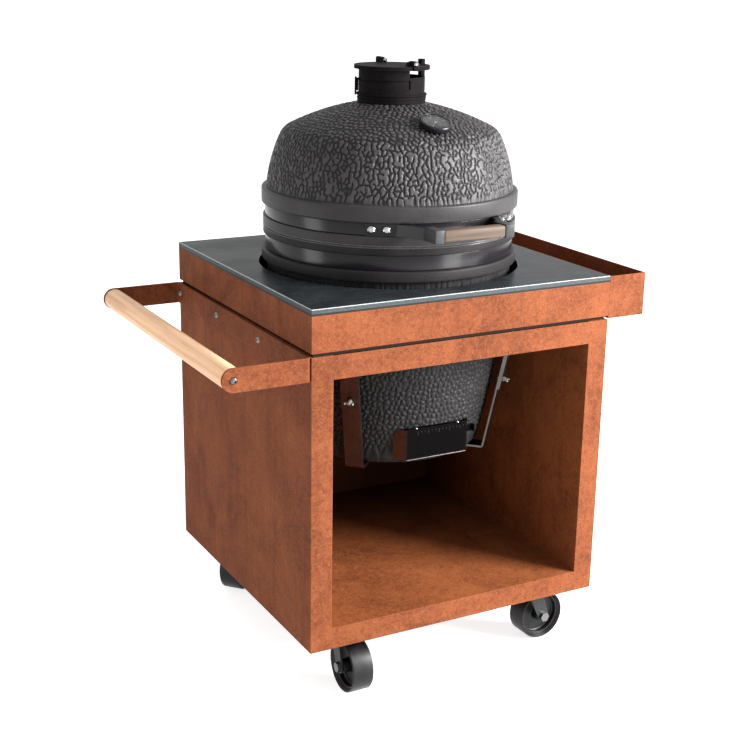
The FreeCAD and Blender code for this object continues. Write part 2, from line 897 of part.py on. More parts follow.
def strap_face(level):
    """Distance of the outer piece's outer face from the grill's axis at a level."""
    return strap_foot_radius + lean * (level - grill_bottom)


def strap_lower(name, rotation):
    strap = node("strap_lower_" + name, GRILL, rotation)
    bottom = grill_bottom - size.strap_thick
    top = strap_bolt_level + size.strap_lap
    side = size.strap_width / 2
    add(strap, "XZ", [[(strap_toe_radius, bottom), (strap_face(bottom) - ply, bottom),
                       (strap_face(top) - ply, top), (strap_face(top) - 2 * ply, top),
                       (strap_face(grill_bottom) - 2 * ply, grill_bottom),
                       (strap_toe_radius, grill_bottom)]], -side, side)
    dress(strap, "Fillet", size.strap_thick * 1.75,
          lambda edge: runs_along(edge, 1) and is_near(edge.BoundBox.XMin, strap_face(bottom) - ply))
    slot = stadium_path(0, M8_HOLE, strap_bolt_level - 2, strap_bolt_level + 2)
    cut(strap, "YZ", [slot], strap_foot_radius, strap_head_radius)


def strap_upper(name, rotation):
    strap = node("strap_upper_" + name, GRILL, rotation)
    bottom = strap_bolt_level - size.strap_width / 2
    top = size.cabinet_height
    fold = top - size.strap_thick
    side = size.strap_width / 2
    add(strap, "XZ", [[(strap_face(bottom) - ply, bottom), (strap_face(bottom), bottom),
                       (strap_face(fold), fold), (strap_face(fold) + size.strap_flange, fold),
                       (strap_face(fold) + size.strap_flange, top), (strap_face(top) - ply, top)]],
        -side, side)
    dress(strap, "Fillet", size.strap_thick * 1.75,
          lambda edge: runs_along(edge, 1) and is_near(edge.BoundBox.XMin, strap_face(top) - ply))
    slot = stadium_path(0, M8_HOLE, strap_bolt_level - 2, strap_bolt_level + size.strap_slot_length)
    cut(strap, "YZ", [slot], strap_foot_radius, strap_head_radius)


def wing_nut():
    nut = body("wing_nut", (0, 0, 0))
    hub = size.bolt_head_radius
    turn(nut, [(0, 0), (hub, 0), (hub, WING_HUB_HEIGHT), (0, WING_HUB_HEIGHT)])
    span = size.wing_span / 2
    root = hub - 2
    for side in (-1, 1):
        wing = [(side * root, 1), (side * span, 9), (side * (span - 3), 17),
                (side * root, WING_HUB_HEIGHT - 1)]
        add(nut, "XZ", [wing if side > 0 else wing[::-1]], -WING_HALF_THICK, WING_HALF_THICK)
    return nut


def straps():
    """Two strap pieces at each corner, held together by a wing nut outside and a bolt from inside."""
    wings = wing_nut()
    tilt = math.degrees(math.atan(lean.number))
    members = []
    for name, angle in strap_angles():
        rotation = FreeCAD.Rotation(AXIS_Z, angle)
        strap_lower(name, rotation)
        strap_upper(name, rotation)
        outward = rotation.multiply(FreeCAD.Rotation(AXIS_Y, 90 + tilt))
        inward = rotation.multiply(FreeCAD.Rotation(AXIS_Y, tilt - 90))
        x, y = polar(strap_face(strap_bolt_level), angle)
        members.append(copy_of(wings, moved(GRILL, x, y, strap_bolt_level), outward))
        stack = 2 * size.strap_thick.number
        drop = stack * math.sin(math.radians(tilt))
        x, y = polar(strap_face(strap_bolt_level) - stack * math.cos(math.radians(tilt)), angle)
        members.append(copy_of(strap_bolt, moved(GRILL, x, y, strap_bolt_level + drop), inward))
    group("strap_bolts", members)


# Ceramic grill

inside_floor = grill_bottom + size.ceramic_wall


def base_side(gap=0):
    """The outer side of the base from its foot to under the ring, moved out by a gap."""
    return [(size.base_foot_radius + size.base_corner / 4 + gap, grill_bottom + size.base_corner),
            (base_neck_radius + gap, base_ring_bottom, size.base_side_bulge + gap)]


def kamado_base():
    base = node("kamado_base", GRILL)
    bevel = size.ring_bevel
    ring_in = ring_radius - bevel
    ring_top = base_band_bottom
    wall = size.ceramic_wall
    inside_foot = size.base_foot_radius - wall
    middle = (grill_bottom + base_top) / 2
    foot, neck = base_side()
    turn(base, [
        (0, grill_bottom),
        (size.base_foot_radius - size.base_corner, grill_bottom),
        foot,
        neck,
        (ring_in, base_ring_bottom),
        (ring_radius, base_ring_bottom + bevel),
        (ring_radius, ring_top - bevel),
        (ring_in, ring_top),
        (size.band_seat_radius, ring_top),
        (size.band_seat_radius, base_lip_bottom),
        (lip_radius, base_lip_bottom),
        (lip_radius, base_top),
        (mouth_radius, base_top),
        (base_inside_middle, middle),
        (inside_foot, inside_floor),
        (0, inside_floor)])
    reach = size.draft_half_width + size.draft_wing_run + size.niche_side_gap
    cut(base, "XZ", [rect(-reach, reach, draft_bottom - size.niche_low_gap, draft_top + size.niche_high_gap)],
        -base_neck_radius, -draft_seat)
    cut(base, "XZ", [draft_window()], -base_neck_radius, -inside_foot / 2)


def draft_window():
    low = grill_bottom + size.draft_window_low
    return rect(-size.draft_window_half, size.draft_window_half, low, low + size.draft_window_height)


dial_place = size.crown_start_radius - size.dial_inset


def crown_at_dial():
    """Height and slope of the dome's crown where the thermometer goes through it."""
    start = (size.crown_start_radius.number, crown_level.number)
    end = (size.crown_end_radius.number, crown_end_level.number)
    centre = arc_segment(start, end, size.crown_bulge.number).Center
    across = dial_place.number - centre.x
    height = centre.y + math.sqrt(size.crown_bulge.number ** 2 - across ** 2)
    return height, math.degrees(math.asin(across / size.crown_bulge.number))


dial_height, dial_tilt = crown_at_dial()
dial_seat = (0, -dial_place, dial_height)
dial_rotation = FreeCAD.Rotation(AXIS_X, dial_tilt)
dial_axis = dial_rotation.multVec(AXIS_Z)
COLDEST_READING = 135


def kamado_dome():
    dome = node("kamado_dome", GRILL)
    bevel = size.ring_bevel
    ring_in = ring_radius - bevel
    wall = size.ceramic_wall
    inside_crown = crown_level - wall
    inside_shoulder = size.crown_start_radius - wall / 2
    turn(dome, [
        (mouth_radius, dome_bottom),
        (lip_radius, dome_bottom),
        (lip_radius, dome_band_bottom),
        (size.band_seat_radius, dome_band_bottom),
        (size.band_seat_radius, dome_band_top),
        (ring_in, dome_band_top),
        (ring_radius, dome_band_top + bevel),
        (ring_radius, dome_ring_top - bevel),
        (ring_in, dome_ring_top),
        (size.band_seat_radius, dome_ring_top),
        (size.shoulder_radius, shoulder_level, size.dome_side_bulge),
        (size.crown_start_radius, crown_level, size.shoulder_bulge),
        (size.crown_end_radius, crown_end_level, size.crown_bulge),
        (size.neck_radius, crown_end_level + 1),
        (size.neck_radius, neck_top),
        (size.neck_bore, neck_top),
        (size.neck_bore, crown_end_level - wall / 2),
        (inside_shoulder, inside_crown),
        (size.band_seat_radius - wall, dome_ring_top)])
    mouth = [dial_seat[k] + size.bore_lead * dial_axis[k] for k in range(3)]
    bore(dome, mouth, dial_axis, size.stem_radius + size.seat_gap, size.bore_lead + 2 * wall)


def bands():
    gap = size.seat_gap
    inner = size.band_seat_radius + gap
    base_band = node("base_band", GRILL)
    turn(base_band, rect(inner, base_band_outer, base_band_bottom + gap, base_lip_bottom - gap))
    dome_band = node("dome_band", GRILL)
    turn(dome_band, rect(inner, dome_band_outer, dome_band_bottom + gap, dome_band_top - gap))


def seam_gasket():
    gasket = node("seam_gasket", GRILL)
    turn(gasket, rect(mouth_radius + size.gasket_inset, lip_radius - size.gasket_setback,
                      base_top, dome_bottom - size.seat_gap))


# Rear hinge of the dome: brackets on the two bands, a pin and two torsion springs

def hinge_bracket(label, band_outer, low, high, ear_x, ear_low, ear_high):
    """A curved saddle on a band and two ears that reach back to the pin."""
    bracket = node(label, GRILL)
    gap = size.seat_gap
    spread = size.hinge_half_angle.number
    thick = size.hinge_plate
    inner = band_outer + gap
    add(bracket, "XY", [sector(inner, inner + thick, 90 - spread, 90 + spread)], low, high)
    reach = size.hinge_ear_radius
    middle = inner + thick / 2
    front = (middle * middle - ear_x * ear_x).root()
    past_rings = ring_radius + gap
    clear = (past_rings * past_rings - ear_x * ear_x).root()
    for side in (-1, 1):
        x0 = ear_x if side > 0 else -ear_x - thick
        ear = [(front, ear_low), (clear, ear_low), (hinge_y, hinge_level - reach),
               (hinge_y + reach, hinge_level, reach), (hinge_y, hinge_level + reach, reach),
               (clear, ear_high), (front, ear_high)]
        add(bracket, "YZ", [ear], x0, x0 + thick)
    for side in (-1, 1):
        x0 = ear_x if side > 0 else -ear_x - thick
        cut(bracket, "YZ", [Circle(hinge_y, hinge_level, size.hinge_pin_radius + size.running_gap)],
            x0, x0 + thick)
    return bracket


def hinge():
    gap = size.seat_gap
    outer_ears = size.hinge_half_width
    inner_ears = outer_ears - size.hinge_plate - gap
    low = base_band_bottom + gap
    high = base_lip_bottom - gap
    hinge_bracket("hinge_lower_bracket", base_band_outer, low, high, outer_ears, low, high)
    low = dome_band_bottom + gap
    high = dome_band_top - gap
    hinge_bracket("hinge_upper_bracket", dome_band_outer, low, high, inner_ears, low, high)
    pin_reach = outer_ears + size.hinge_plate + gap
    pin = node("hinge_pin", moved(GRILL, 0, hinge_y, hinge_level), FreeCAD.Rotation(AXIS_Y, 90))
    head = size.hinge_pin_radius + 3
    turn(pin, [(0, -pin_reach - 3), (head, -pin_reach - 3), (head, -pin_reach),
               (size.hinge_pin_radius, -pin_reach), (size.hinge_pin_radius, pin_reach),
               (head, pin_reach), (head, pin_reach + 3), (0, pin_reach + 3)])


def hinge_springs():
    """Two wound springs on the pin, each as the tube that its turns fill."""
    half_spring = body("half_spring", moved(GRILL, 0, hinge_y, hinge_level))
    inner = size.hinge_pin_radius + size.seat_gap
    rings = [Circle(0, 0, inner + size.spring_thick), Circle(0, 0, inner)]
    add(half_spring, "YZ", rings, size.spring_start, size.spring_start + size.spring_length)
    mirrored_group("hinge_springs", half_spring)


# Front handle of the dome

nut_level = (dome_band_bottom + dome_band_top) / 2
foot_inner = dome_band_outer + size.seat_gap
foot_outer = foot_inner + size.arm_foot_thick
FRONT = -90


def nut_angles():
    """Directions of the four domed nuts on the dome's band."""
    near = size.near_nut_angle.number
    far = size.far_nut_angle.number
    return [FRONT - far, FRONT - near, FRONT + near, FRONT + far]


def kamado_handle_arms():
    arm = body("handle_arm", GRILL)
    gap = size.seat_gap
    low = dome_band_bottom + 2 * gap
    high = dome_band_top - 2 * gap
    start = FRONT + size.arm_foot_start_angle.number
    end = FRONT + size.arm_foot_end_angle.number
    add(arm, "XY", [sector(foot_inner, foot_outer, start, end)], low, high)
    block_front = -grip_front
    block_back = size.block_depth - grip_front
    inner = size.grip_half_width
    outer = size.grip_half_width + size.block_width
    bar_outer = outer - size.arm_inset
    bar_inner = bar_outer - size.arm_thick
    bar_end = block_back - size.arm_overlap
    root = size.arm_root_half_angle.number
    bar = [polar(foot_inner, start - root), (bar_inner, bar_end), (bar_outer, bar_end),
           polar(foot_outer, start + root)]
    add(arm, "XY", [bar], low, high)
    block_low = grip_bottom - size.block_overhang
    add(arm, "XY", [rect(inner, outer, block_front, block_back)], block_low, block_low + size.block_height)
    dress(arm, "Chamfer", size.block_bevel,
          lambda edge: runs_along(edge, 2) and is_near(edge.BoundBox.YMin, block_front))
    mirrored_group("kamado_handle_arms", arm)


def kamado_handle_grip():
    grip = node("kamado_handle_grip", GRILL)
    reach = size.grip_half_width
    front = -grip_front
    back = size.grip_size - grip_front
    low = grip_bottom
    high = grip_bottom + size.grip_size
    add(grip, "YZ", [rect(front, back, low, high)], -reach, reach)
    dress(grip, "Fillet", size.grip_corner, lambda edge: runs_along(edge, 0))


def dome_bolts():
    """The handle's domed nuts and the vent lid's two hinge screws."""
    nut = body("dome_nut", (0, 0, 0))
    turn(nut, domed_head(size.nut_radius))
    members = []
    for angle in nut_angles():
        x, y = polar(foot_outer, angle)
        facing = FreeCAD.Rotation(AXIS_Z, FreeCAD.Vector(x.number, y.number, 0))
        members.append(copy_of(nut, moved(GRILL, x, y, nut_level), facing))
    reach = size.lug_outer - size.lug_inner
    screw = domed_bolt("lid_screw", reach + 8, size.lid_pin_radius + 2.5, size.lid_pin_radius)
    for side in (-1, 1):
        facing = FreeCAD.Rotation(AXIS_Z, side * AXIS_Y)
        place = moved(GRILL, size.vent_split, side * size.lug_outer, lid_axis_level)
        members.append(copy_of(screw, place, facing))
    group("dome_bolts", members)


# Thermometer on the dome's front

def thermometer():
    place = moved(GRILL, dial_seat[0], dial_seat[1], dial_seat[2])
    case = node("thermometer_body", place, dial_rotation)
    gap = size.seat_gap
    depth = size.dial_depth
    floor = depth - size.dial_recess
    glass_low = depth - size.lens_thick - 0.6
    inner = size.dial_radius - size.bezel_width
    ledge = inner - 1.5
    spindle = 1.2
    turn(case, [(0, -size.probe_length), (size.probe_radius, -size.probe_length),
                (size.probe_radius, -size.stem_length), (size.stem_radius, -size.stem_length),
                (size.stem_radius, gap),
                (size.dial_radius, gap), (size.dial_radius, depth - 1.5), (size.dial_radius - 1.5, depth),
                (inner, depth), (inner, glass_low), (ledge, glass_low), (ledge, floor),
                (spindle, floor), (spindle, floor - 3), (0, floor - 3)])
    resting = dial_rotation.multiply(FreeCAD.Rotation(AXIS_Z, COLDEST_READING))
    needle = node("thermometer_needle", place, resting)
    pointer = ledge * 0.8
    low = floor + gap
    turn(needle, [(0, floor - 2.5), (spindle - 0.1, floor - 2.5), (spindle - 0.1, low), (3, low),
                  (3, low + 1.4), (0, low + 1.4)])
    add(needle, "XY", [[(-1.6, -6), (1.6, -6), (0.5, pointer), (-0.5, pointer)]], low, low + 0.8)
    lens = node("thermometer_lens", place, dial_rotation)
    turn(lens, [(0, glass_low), (inner - gap, glass_low), (inner - gap, glass_low + size.lens_thick),
                (0, glass_low + size.lens_thick)])


# Top vent: collar, body with window and lever slot, folding lid, inner slide

def vent_body():
    tube = node("vent_body", GRILL)
    outer = size.vent_radius
    inner = outer - size.vent_wall
    low = neck_top - size.vent_skirt
    turn(tube, rect(inner, outer, low, vent_lid_bottom))
    window_low = vent_lid_bottom - size.vent_window_height
    start = size.vent_window_start_angle.number
    end = size.vent_window_end_angle.number
    cut(tube, "XY", [sector(inner - 2, outer + 2, start, end)], window_low, vent_lid_bottom)
    slot_low = neck_top + size.slot_low
    cut(tube, "XY", [sector(inner - 2, outer + 2, size.slot_start_angle.number, size.slot_end_angle.number)],
        slot_low, slot_low + size.slot_height)
    notch = [size.slot_end_angle.number - 4, size.slot_end_angle.number]
    cut(tube, "XY", [sector(inner - 2, outer + 2, notch[0], notch[1])],
        slot_low - size.notch_depth, slot_low + 1)
    rim = size.vent_lid_radius
    split = size.vent_split + size.seat_gap
    chord = (rim * rim - split * split).root()
    add(tube, "XY", [[(split, -chord), (rim, 0, rim), (split, chord, rim)]],
        vent_lid_bottom, vent_lid_top)
    for side in (-1, 1):
        lug(tube, side)
    post = Circle(size.post_place, 0, size.post_radius)
    post_top = 2 * lid_axis_level - vent_lid_top - size.seat_gap
    post_low = window_low - 4
    add(tube, "XY", [post], post_low, post_top)
    cut(tube, "XY", [Circle(0, 0, inner)], post_low, vent_lid_bottom)


def lug(tube, side):
    """One ear that holds a hinge screw of the lid."""
    reach = size.lug_width / 2
    axis_x = size.vent_split
    low_y = size.lug_inner if side > 0 else -size.lug_outer
    high_y = size.lug_outer if side > 0 else -size.lug_inner
    crown = size.lid_axis_rise + 1.2
    flank = (crown * crown - reach * reach).root()
    ear = [(axis_x - reach, vent_lid_bottom), (axis_x + reach, vent_lid_bottom),
           (axis_x + reach, lid_axis_level + flank), (axis_x - reach, lid_axis_level + flank, crown)]
    add(tube, "XZ", [ear], low_y, high_y)
    hole = Circle(axis_x, lid_axis_level, size.lid_pin_radius + size.running_gap)
    cut(tube, "XZ", [hole], low_y, high_y)


def vent_flap():
    lid = node("vent_flap", GRILL)
    rim = size.vent_lid_radius
    split = size.vent_split - size.seat_gap
    chord = (rim * rim - split * split).root()
    gap = size.seat_gap
    add(lid, "XY", [[(split, chord), (-rim, 0, rim), (split, -chord, rim)]],
        vent_lid_bottom + gap, vent_lid_top)
    clear = size.lug_width / 2 + 0.5
    edge = size.lug_inner - 0.5
    beyond = size.lug_outer + 5
    for low_y, high_y in ((edge, beyond), (-beyond, -edge)):
        cut(lid, "XY", [rect(size.vent_split - clear, size.vent_split + clear, low_y, high_y)],
            vent_lid_bottom, vent_lid_top)
    barrel = size.lid_barrel_radius
    root = size.vent_split - 2 * barrel
    web = [(root, vent_lid_top - 1), (split, vent_lid_top - 1), (split, lid_axis_level),
           (size.vent_split - barrel, lid_axis_level)]
    stub = size.lid_barrel_length
    deep = stub - 2
    for side in (-1, 1):
        low_y, high_y = (edge - stub, edge) if side > 0 else (-edge, stub - edge)
        add(lid, "XZ", [web], low_y, high_y)
        add(lid, "XZ", [Circle(size.vent_split, lid_axis_level, barrel)], low_y, high_y)
        low_y, high_y = (edge - deep, edge) if side > 0 else (-edge, deep - edge)
        cut(lid, "XZ", [Circle(size.vent_split, lid_axis_level, size.lid_pin_radius + size.running_gap)],
            low_y, high_y)


def vent_shutter():
    slide = node("vent_shutter", GRILL)
    gap = size.seat_gap
    outer = size.vent_radius - size.vent_wall - gap
    inner = outer - size.slide_wall
    low = neck_top + gap
    high = vent_lid_bottom - gap
    turn(slide, rect(inner, outer, low, high))
    start = size.vent_window_start_angle.number
    end = size.vent_window_end_angle.number
    window_low = vent_lid_bottom - size.vent_window_height
    cut(slide, "XY", [sector(inner - 2, outer + 2, start, end)], window_low, high)
    angle = size.lever_angle.number
    slot_low = neck_top + size.slot_low
    add(slide, "XY", [sector(inner + 1, size.lever_length - 1, angle - 1.5, angle + 1.5)],
        slot_low + gap, slot_low + size.slot_height - gap)
    add(slide, "XY", [sector(size.lever_length - 4, size.lever_length, angle - 4, angle + 4)],
        slot_low - 30, slot_low + size.slot_height + 2)


def vent_collar():
    collar = node("vent_collar", GRILL)
    inner = size.vent_radius + size.seat_gap
    outer = inner + size.collar_thick
    low = neck_top - size.vent_skirt
    high = low + size.collar_height
    turn(collar, rect(inner, outer, low, high))
    for low_y, high_y in ((2, 6), (-6, -2)):
        add(collar, "XY", [rect(inner + 1, outer + 9, low_y, high_y)], low + 4, high - 1)


# Draft opening: a housing that fits the ceramic, and a door that slides in its rails

def draft_housing():
    housing = node("draft_housing", GRILL)
    width = size.draft_half_width
    front = -draft_front
    seat = -(draft_seat + size.seat_gap)
    wing = width + size.draft_wing_run
    back = size.draft_wing_depth - draft_front
    add(housing, "XY", [[(-width, front), (width, front), (wing, back), (-wing, back)]],
        draft_bottom, draft_top)
    turn_away(housing, [(0, grill_bottom), (size.base_foot_radius, grill_bottom),
                        base_side(size.seat_gap)[0], base_side(size.seat_gap)[1],
                        (0, base_ring_bottom)])
    add(housing, "XY", [rect(-width, width, front, seat)], draft_bottom, draft_top)
    cut(housing, "XZ", [draft_window()], front, back)
    lip = size.draft_lip
    door_front = front + size.draft_lip_thick
    door_back = door_front + size.door_thick + 2 * size.seat_gap
    low_x = size.draft_end_wall - width
    high_x = wing + 2
    cut(housing, "XZ", [rect(low_x, high_x, draft_bottom + lip / 2, draft_top - lip / 2)],
        door_front, door_back)
    cut(housing, "XZ", [rect(low_x, high_x, draft_bottom + lip, draft_top - lip)],
        front, door_front)
    return housing


def draft_door():
    door = node("draft_door", GRILL)
    gap = size.seat_gap
    lip = size.draft_lip
    front = size.draft_lip_thick + gap - draft_front
    back = front + size.door_thick
    low = draft_bottom + lip / 2 + gap
    high = draft_top - lip / 2 - gap
    end = size.draft_half_width - size.door_end_gap
    tab_end = size.draft_half_width + size.door_tab
    tab_high = high - size.door_tab_drop
    tab_low = tab_high - size.door_tab
    add(door, "XZ", [[(-end, low), (end, low), (end, tab_low), (tab_end, tab_low), (tab_end, tab_high),
                      (end, tab_high), (end, high), (-end, high)]], front, back)
    add(door, "XZ", [rect(tab_end - size.door_thick, tab_end, tab_low, tab_high)],
        front - size.door_tab_fold, front + 1)


# Inside the grill

bowl_bottom = inside_floor
bowl_top = bowl_bottom + size.bowl_height
bowl_foot = size.base_foot_radius - size.ceramic_wall - 2 * size.bowl_gap
bowl_mouth = base_inside_middle - size.bowl_mouth_gap
ring_top_inside = bowl_top + size.seat_gap + size.fire_ring_height


def fire_bowl():
    """A tapered bowl on a hollow foot; air comes in through the foot's arch and up the middle hole."""
    bowl = node("fire_bowl", GRILL)
    wall = size.bowl_wall
    under = bowl_bottom + size.ash_height
    turn(bowl, [(size.air_hole_radius, under), (bowl_foot - wall, under), (bowl_foot - wall, bowl_bottom),
                (bowl_foot, bowl_bottom), (bowl_mouth, bowl_top), (bowl_mouth - wall, bowl_top),
                (bowl_foot - wall / 2, under + wall), (size.air_hole_radius, under + wall)])
    arch = rect(-size.ash_arch_half, size.ash_arch_half, bowl_bottom + 4, under - 8)
    cut(bowl, "XZ", [arch], -bowl_mouth, -bowl_foot / 2)


def fire_ring():
    ring = node("fire_ring", GRILL)
    outer = bowl_mouth + size.fire_ring_step
    turn(ring, rect(outer - size.bowl_wall, outer, bowl_top + size.seat_gap, ring_top_inside))


def slotted_plate(plate, level, reach, slot, pitch):
    """A round grate whose parallel slots stop at an even rim."""
    inside = reach - size.grate_rim
    count = int((inside.number - slot.number) / pitch.number)
    slots = []
    for k in range(-count, count + 1):
        edge = k * pitch
        far_corner = abs(k) * pitch + slot / 2
        half_length = (inside * inside - far_corner * far_corner).root()
        slots.append(rect(edge - slot / 2, edge + slot / 2, -half_length, half_length))
    add(plate, "XY", [Circle(0, 0, reach)] + slots, level, level + size.grate_thick)


def charcoal_grate():
    level = bowl_bottom + size.ash_height + size.bowl_wall
    reach = bowl_foot - size.bowl_wall / 2 - 1
    slotted_plate(node("charcoal_grate", GRILL), level, reach, size.coal_slot, size.coal_slot_pitch)


def cooking_grate():
    reach = bowl_mouth + size.fire_ring_step
    slotted_plate(node("cooking_grate", GRILL), ring_top_inside, reach, size.food_slot, size.food_slot_pitch)


def check(item):
    state = [word for word in item.State if word in ("Invalid", "Error")]
    if state:
        raise RuntimeError("%s (%s) failed: %s" % (item.Label, item.Name, item.State))


def check_cuts():
    """Every pocket and groove has to take something away."""
    for item in doc.Objects:
        if item.TypeId in ("PartDesign::Pocket", "PartDesign::Groove"):
            before = item.BaseFeature.Shape.Volume
            if before - item.Shape.Volume < 1e-3:
                owner = item.getParentGeoFeatureGroup().Label
                raise RuntimeError("%s in %s cuts nothing" % (item.Name, owner))


def export():
    os.makedirs("parts", exist_ok=True)
    for label, item in nodes.items():
        shape = item.Shape
        if shape.isNull() or not shape.isValid() or not shape.Solids:
            raise RuntimeError("%s has no valid shape" % label)
        shape.exportStep("parts/%s.step" % label)


def build():
    cabinet_front_frame()
    cabinet_left_panel()
    cabinet_right_panel()
    cabinet_back_panel()
    cabinet_bottom_panel()
    cabinet_liner()
    support_frame()
    top_rim()
    worktop()
    side_tray()
    handle_bracket()
    handle_bar()
    table_bolts()
    straps()
    casters()
    kamado_base()
    kamado_dome()
    bands()
    seam_gasket()
    hinge()
    hinge_springs()
    kamado_handle_arms()
    kamado_handle_grip()
    dome_bolts()
    thermometer()
    vent_body()
    vent_flap()
    vent_shutter()
    vent_collar()
    draft_housing()
    draft_door()
    fire_bowl()
    fire_ring()
    charcoal_grate()
    cooking_grate()
    doc.recompute()
    for item in doc.Objects:
        check(item)
    check_cuts()
    export()


build()
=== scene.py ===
import json
import math
import random

import bmesh
import bpy
from mathutils import Matrix, Vector, kdtree, noise


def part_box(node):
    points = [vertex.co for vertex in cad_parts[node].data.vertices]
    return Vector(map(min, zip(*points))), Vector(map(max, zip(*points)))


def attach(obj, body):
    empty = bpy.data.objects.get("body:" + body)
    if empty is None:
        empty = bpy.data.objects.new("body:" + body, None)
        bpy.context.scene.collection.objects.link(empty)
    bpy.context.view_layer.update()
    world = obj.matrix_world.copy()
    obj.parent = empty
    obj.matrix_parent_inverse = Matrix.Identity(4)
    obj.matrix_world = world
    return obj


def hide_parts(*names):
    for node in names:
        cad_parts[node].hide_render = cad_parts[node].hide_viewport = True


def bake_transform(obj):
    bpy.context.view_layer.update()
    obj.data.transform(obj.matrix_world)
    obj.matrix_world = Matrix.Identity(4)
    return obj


# A kamado grill in a weathered steel table on casters. Metres, +Z up, the tray on +X and the front on -Y.

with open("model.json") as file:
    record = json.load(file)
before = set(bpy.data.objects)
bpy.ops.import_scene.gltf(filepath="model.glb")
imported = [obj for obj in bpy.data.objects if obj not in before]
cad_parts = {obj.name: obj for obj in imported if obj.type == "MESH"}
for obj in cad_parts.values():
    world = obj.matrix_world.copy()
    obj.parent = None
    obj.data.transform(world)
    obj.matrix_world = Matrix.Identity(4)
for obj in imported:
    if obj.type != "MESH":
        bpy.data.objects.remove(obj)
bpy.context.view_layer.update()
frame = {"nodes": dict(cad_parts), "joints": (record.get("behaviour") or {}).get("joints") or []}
nodes = frame["nodes"]


def middle(node):
    low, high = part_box(node)
    return (low + high) / 2


def low_of(node):
    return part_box(node)[0]


def high_of(node):
    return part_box(node)[1]


# Places worked out from the frame
grill_x = middle("base_band").x
grill_y = middle("base_band").y
GRILL = Vector((grill_x, grill_y, 0))
base_low = low_of("kamado_base").z
base_high = high_of("kamado_base").z
dome_low = low_of("kamado_dome").z
dome_high = high_of("kamado_dome").z
ring_radius = high_of("kamado_base").x - grill_x
AT_GRILL = Matrix.Translation(GRILL)
joints = {joint["name"]: joint for joint in frame["joints"]}

# The gap between two pieces that seat on each other
GAP = 0.0003

# Ceramic shape, measured from the grill's own levels
LIP_RADIUS = 0.2683
SEAT_RADIUS = 0.2614
MOUTH_RADIUS = 0.240
WALL = 0.025
FOOT_RADIUS = 0.203
NECK_UNDER_RING = 0.262
BASE_BULGE = 2.07
BASE_RING_TALL = 0.023
DOME_RING_TALL = 0.0335
SIDE_RISE = 0.106
SHOULDER_RADIUS = 0.233
SIDE_BULGE = 0.330
CROWN_START = 0.208
SHOULDER_RISE = 0.023
SHOULDER_BULGE = 0.045
CROWN_RISE = 0.0445
CROWN_END = 0.074
CROWN_BULGE = 0.555
VENT_NECK = 0.066
VENT_BORE = 0.050

# The slab's side that shows above the painted shadow along its lower edge
BEVELLED_SIDE = 0.0090

# Relief of the ceramic's skin: short worm-like grooves on the dome's side, pebbles on its crown and the base
CELL = 0.0094
CELL_HEIGHT = 0.0112
PEBBLE = 0.0114
GROOVE_WIDTH = 0.0060
PEBBLE_GROOVE = 0.0070
GROOVE_DEPTH = 0.0023
PEBBLE_DEPTH = 0.0026
UPRIGHT_SHARE = 0.82
LEVEL_SHARE = 0.13


# Outlines

def arc(start, end, radius, steps):
    """Points on the short arc after start, up to and with end; a positive radius turns left."""
    start = Vector(start)
    end = Vector(end)
    chord = end - start
    half_chord = chord.length / 2
    rise = math.sqrt(max(0.0, radius * radius - half_chord * half_chord))
    side = Vector((-chord.y, chord.x)).normalized()
    centre = (start + end) / 2 + side * math.copysign(rise, radius)
    first = start - centre
    sweep = math.copysign(2 * math.asin(min(1.0, half_chord / abs(radius))), radius)
    points = []
    for k in range(1, steps + 1):
        angle = sweep * k / steps
        turned = Vector((first.x * math.cos(angle) - first.y * math.sin(angle),
                         first.x * math.sin(angle) + first.y * math.cos(angle)))
        points.append(tuple(centre + turned))
    return points


def rounded(outline, steps=4, closed=True):
    """An outline of (x, y, corner radius) points with its corners rounded."""
    points = []
    count = len(outline)
    for k, (x, y, radius) in enumerate(outline):
        corner = Vector((x, y))
        at_end = not closed and k in (0, count - 1)
        if radius <= 0 or at_end:
            points.append((x, y))
            continue
        back = (Vector(outline[k - 1][:2]) - corner).normalized()
        onward = (Vector(outline[(k + 1) % count][:2]) - corner).normalized()
        spread = math.acos(max(-1.0, min(1.0, back.dot(onward))))
        reach = radius / math.tan(spread / 2)
        start = corner + back * reach
        end = corner + onward * reach
        turn = radius if back.x * onward.y - back.y * onward.x < 0 else -radius
        points.append(tuple(start))
        points.extend(arc(start, end, turn, steps))
    return points


def finer(points, step):
    """The same line with no stretch longer than a step."""
    result = [points[0]]
    for start, end in zip(points, points[1:]):
        length = math.dist(start, end)
        parts = max(1, math.ceil(length / step))
        for k in range(1, parts + 1):
            share = k / parts
            result.append(tuple(start[axis] + (end[axis] - start[axis]) * share for axis in (0, 1)))
    return result


# Mesh building

def polar(radius, angle, height=0.0):
    """The point at a radius and an angle round the Z axis."""
    return Vector((radius * math.cos(angle), radius * math.sin(angle), height))


def join_rings(bm, lower, upper):
    """Faces between two rings of vertices, one of which may be a single pole."""
    count = max(len(lower), len(upper))
    if count == 1:
        return
    for k in range(count):
        after = (k + 1) % count
        if len(lower) == 1:
            bm.faces.new((lower[0], upper[after], upper[k]))
        elif len(upper) == 1:
            bm.faces.new((lower[k], lower[after], upper[0]))
        else:
            bm.faces.new((lower[k], lower[after], upper[after], upper[k]))


def add_turned(bm, outline, place=Matrix(), segments=96, closed=True):
    """Turns an outline of (radius, height) points round the Z axis of a place."""
    rings = []
    for radius, height in outline:
        count = 1 if radius < 1e-6 else segments
        angles = [2 * math.pi * k / segments for k in range(count)]
        rings.append([bm.verts.new(place @ polar(radius, angle, height)) for angle in angles])
    for lower, upper in zip(rings, rings[1:]):
        join_rings(bm, lower, upper)
    if closed:
        join_rings(bm, rings[-1], rings[0])


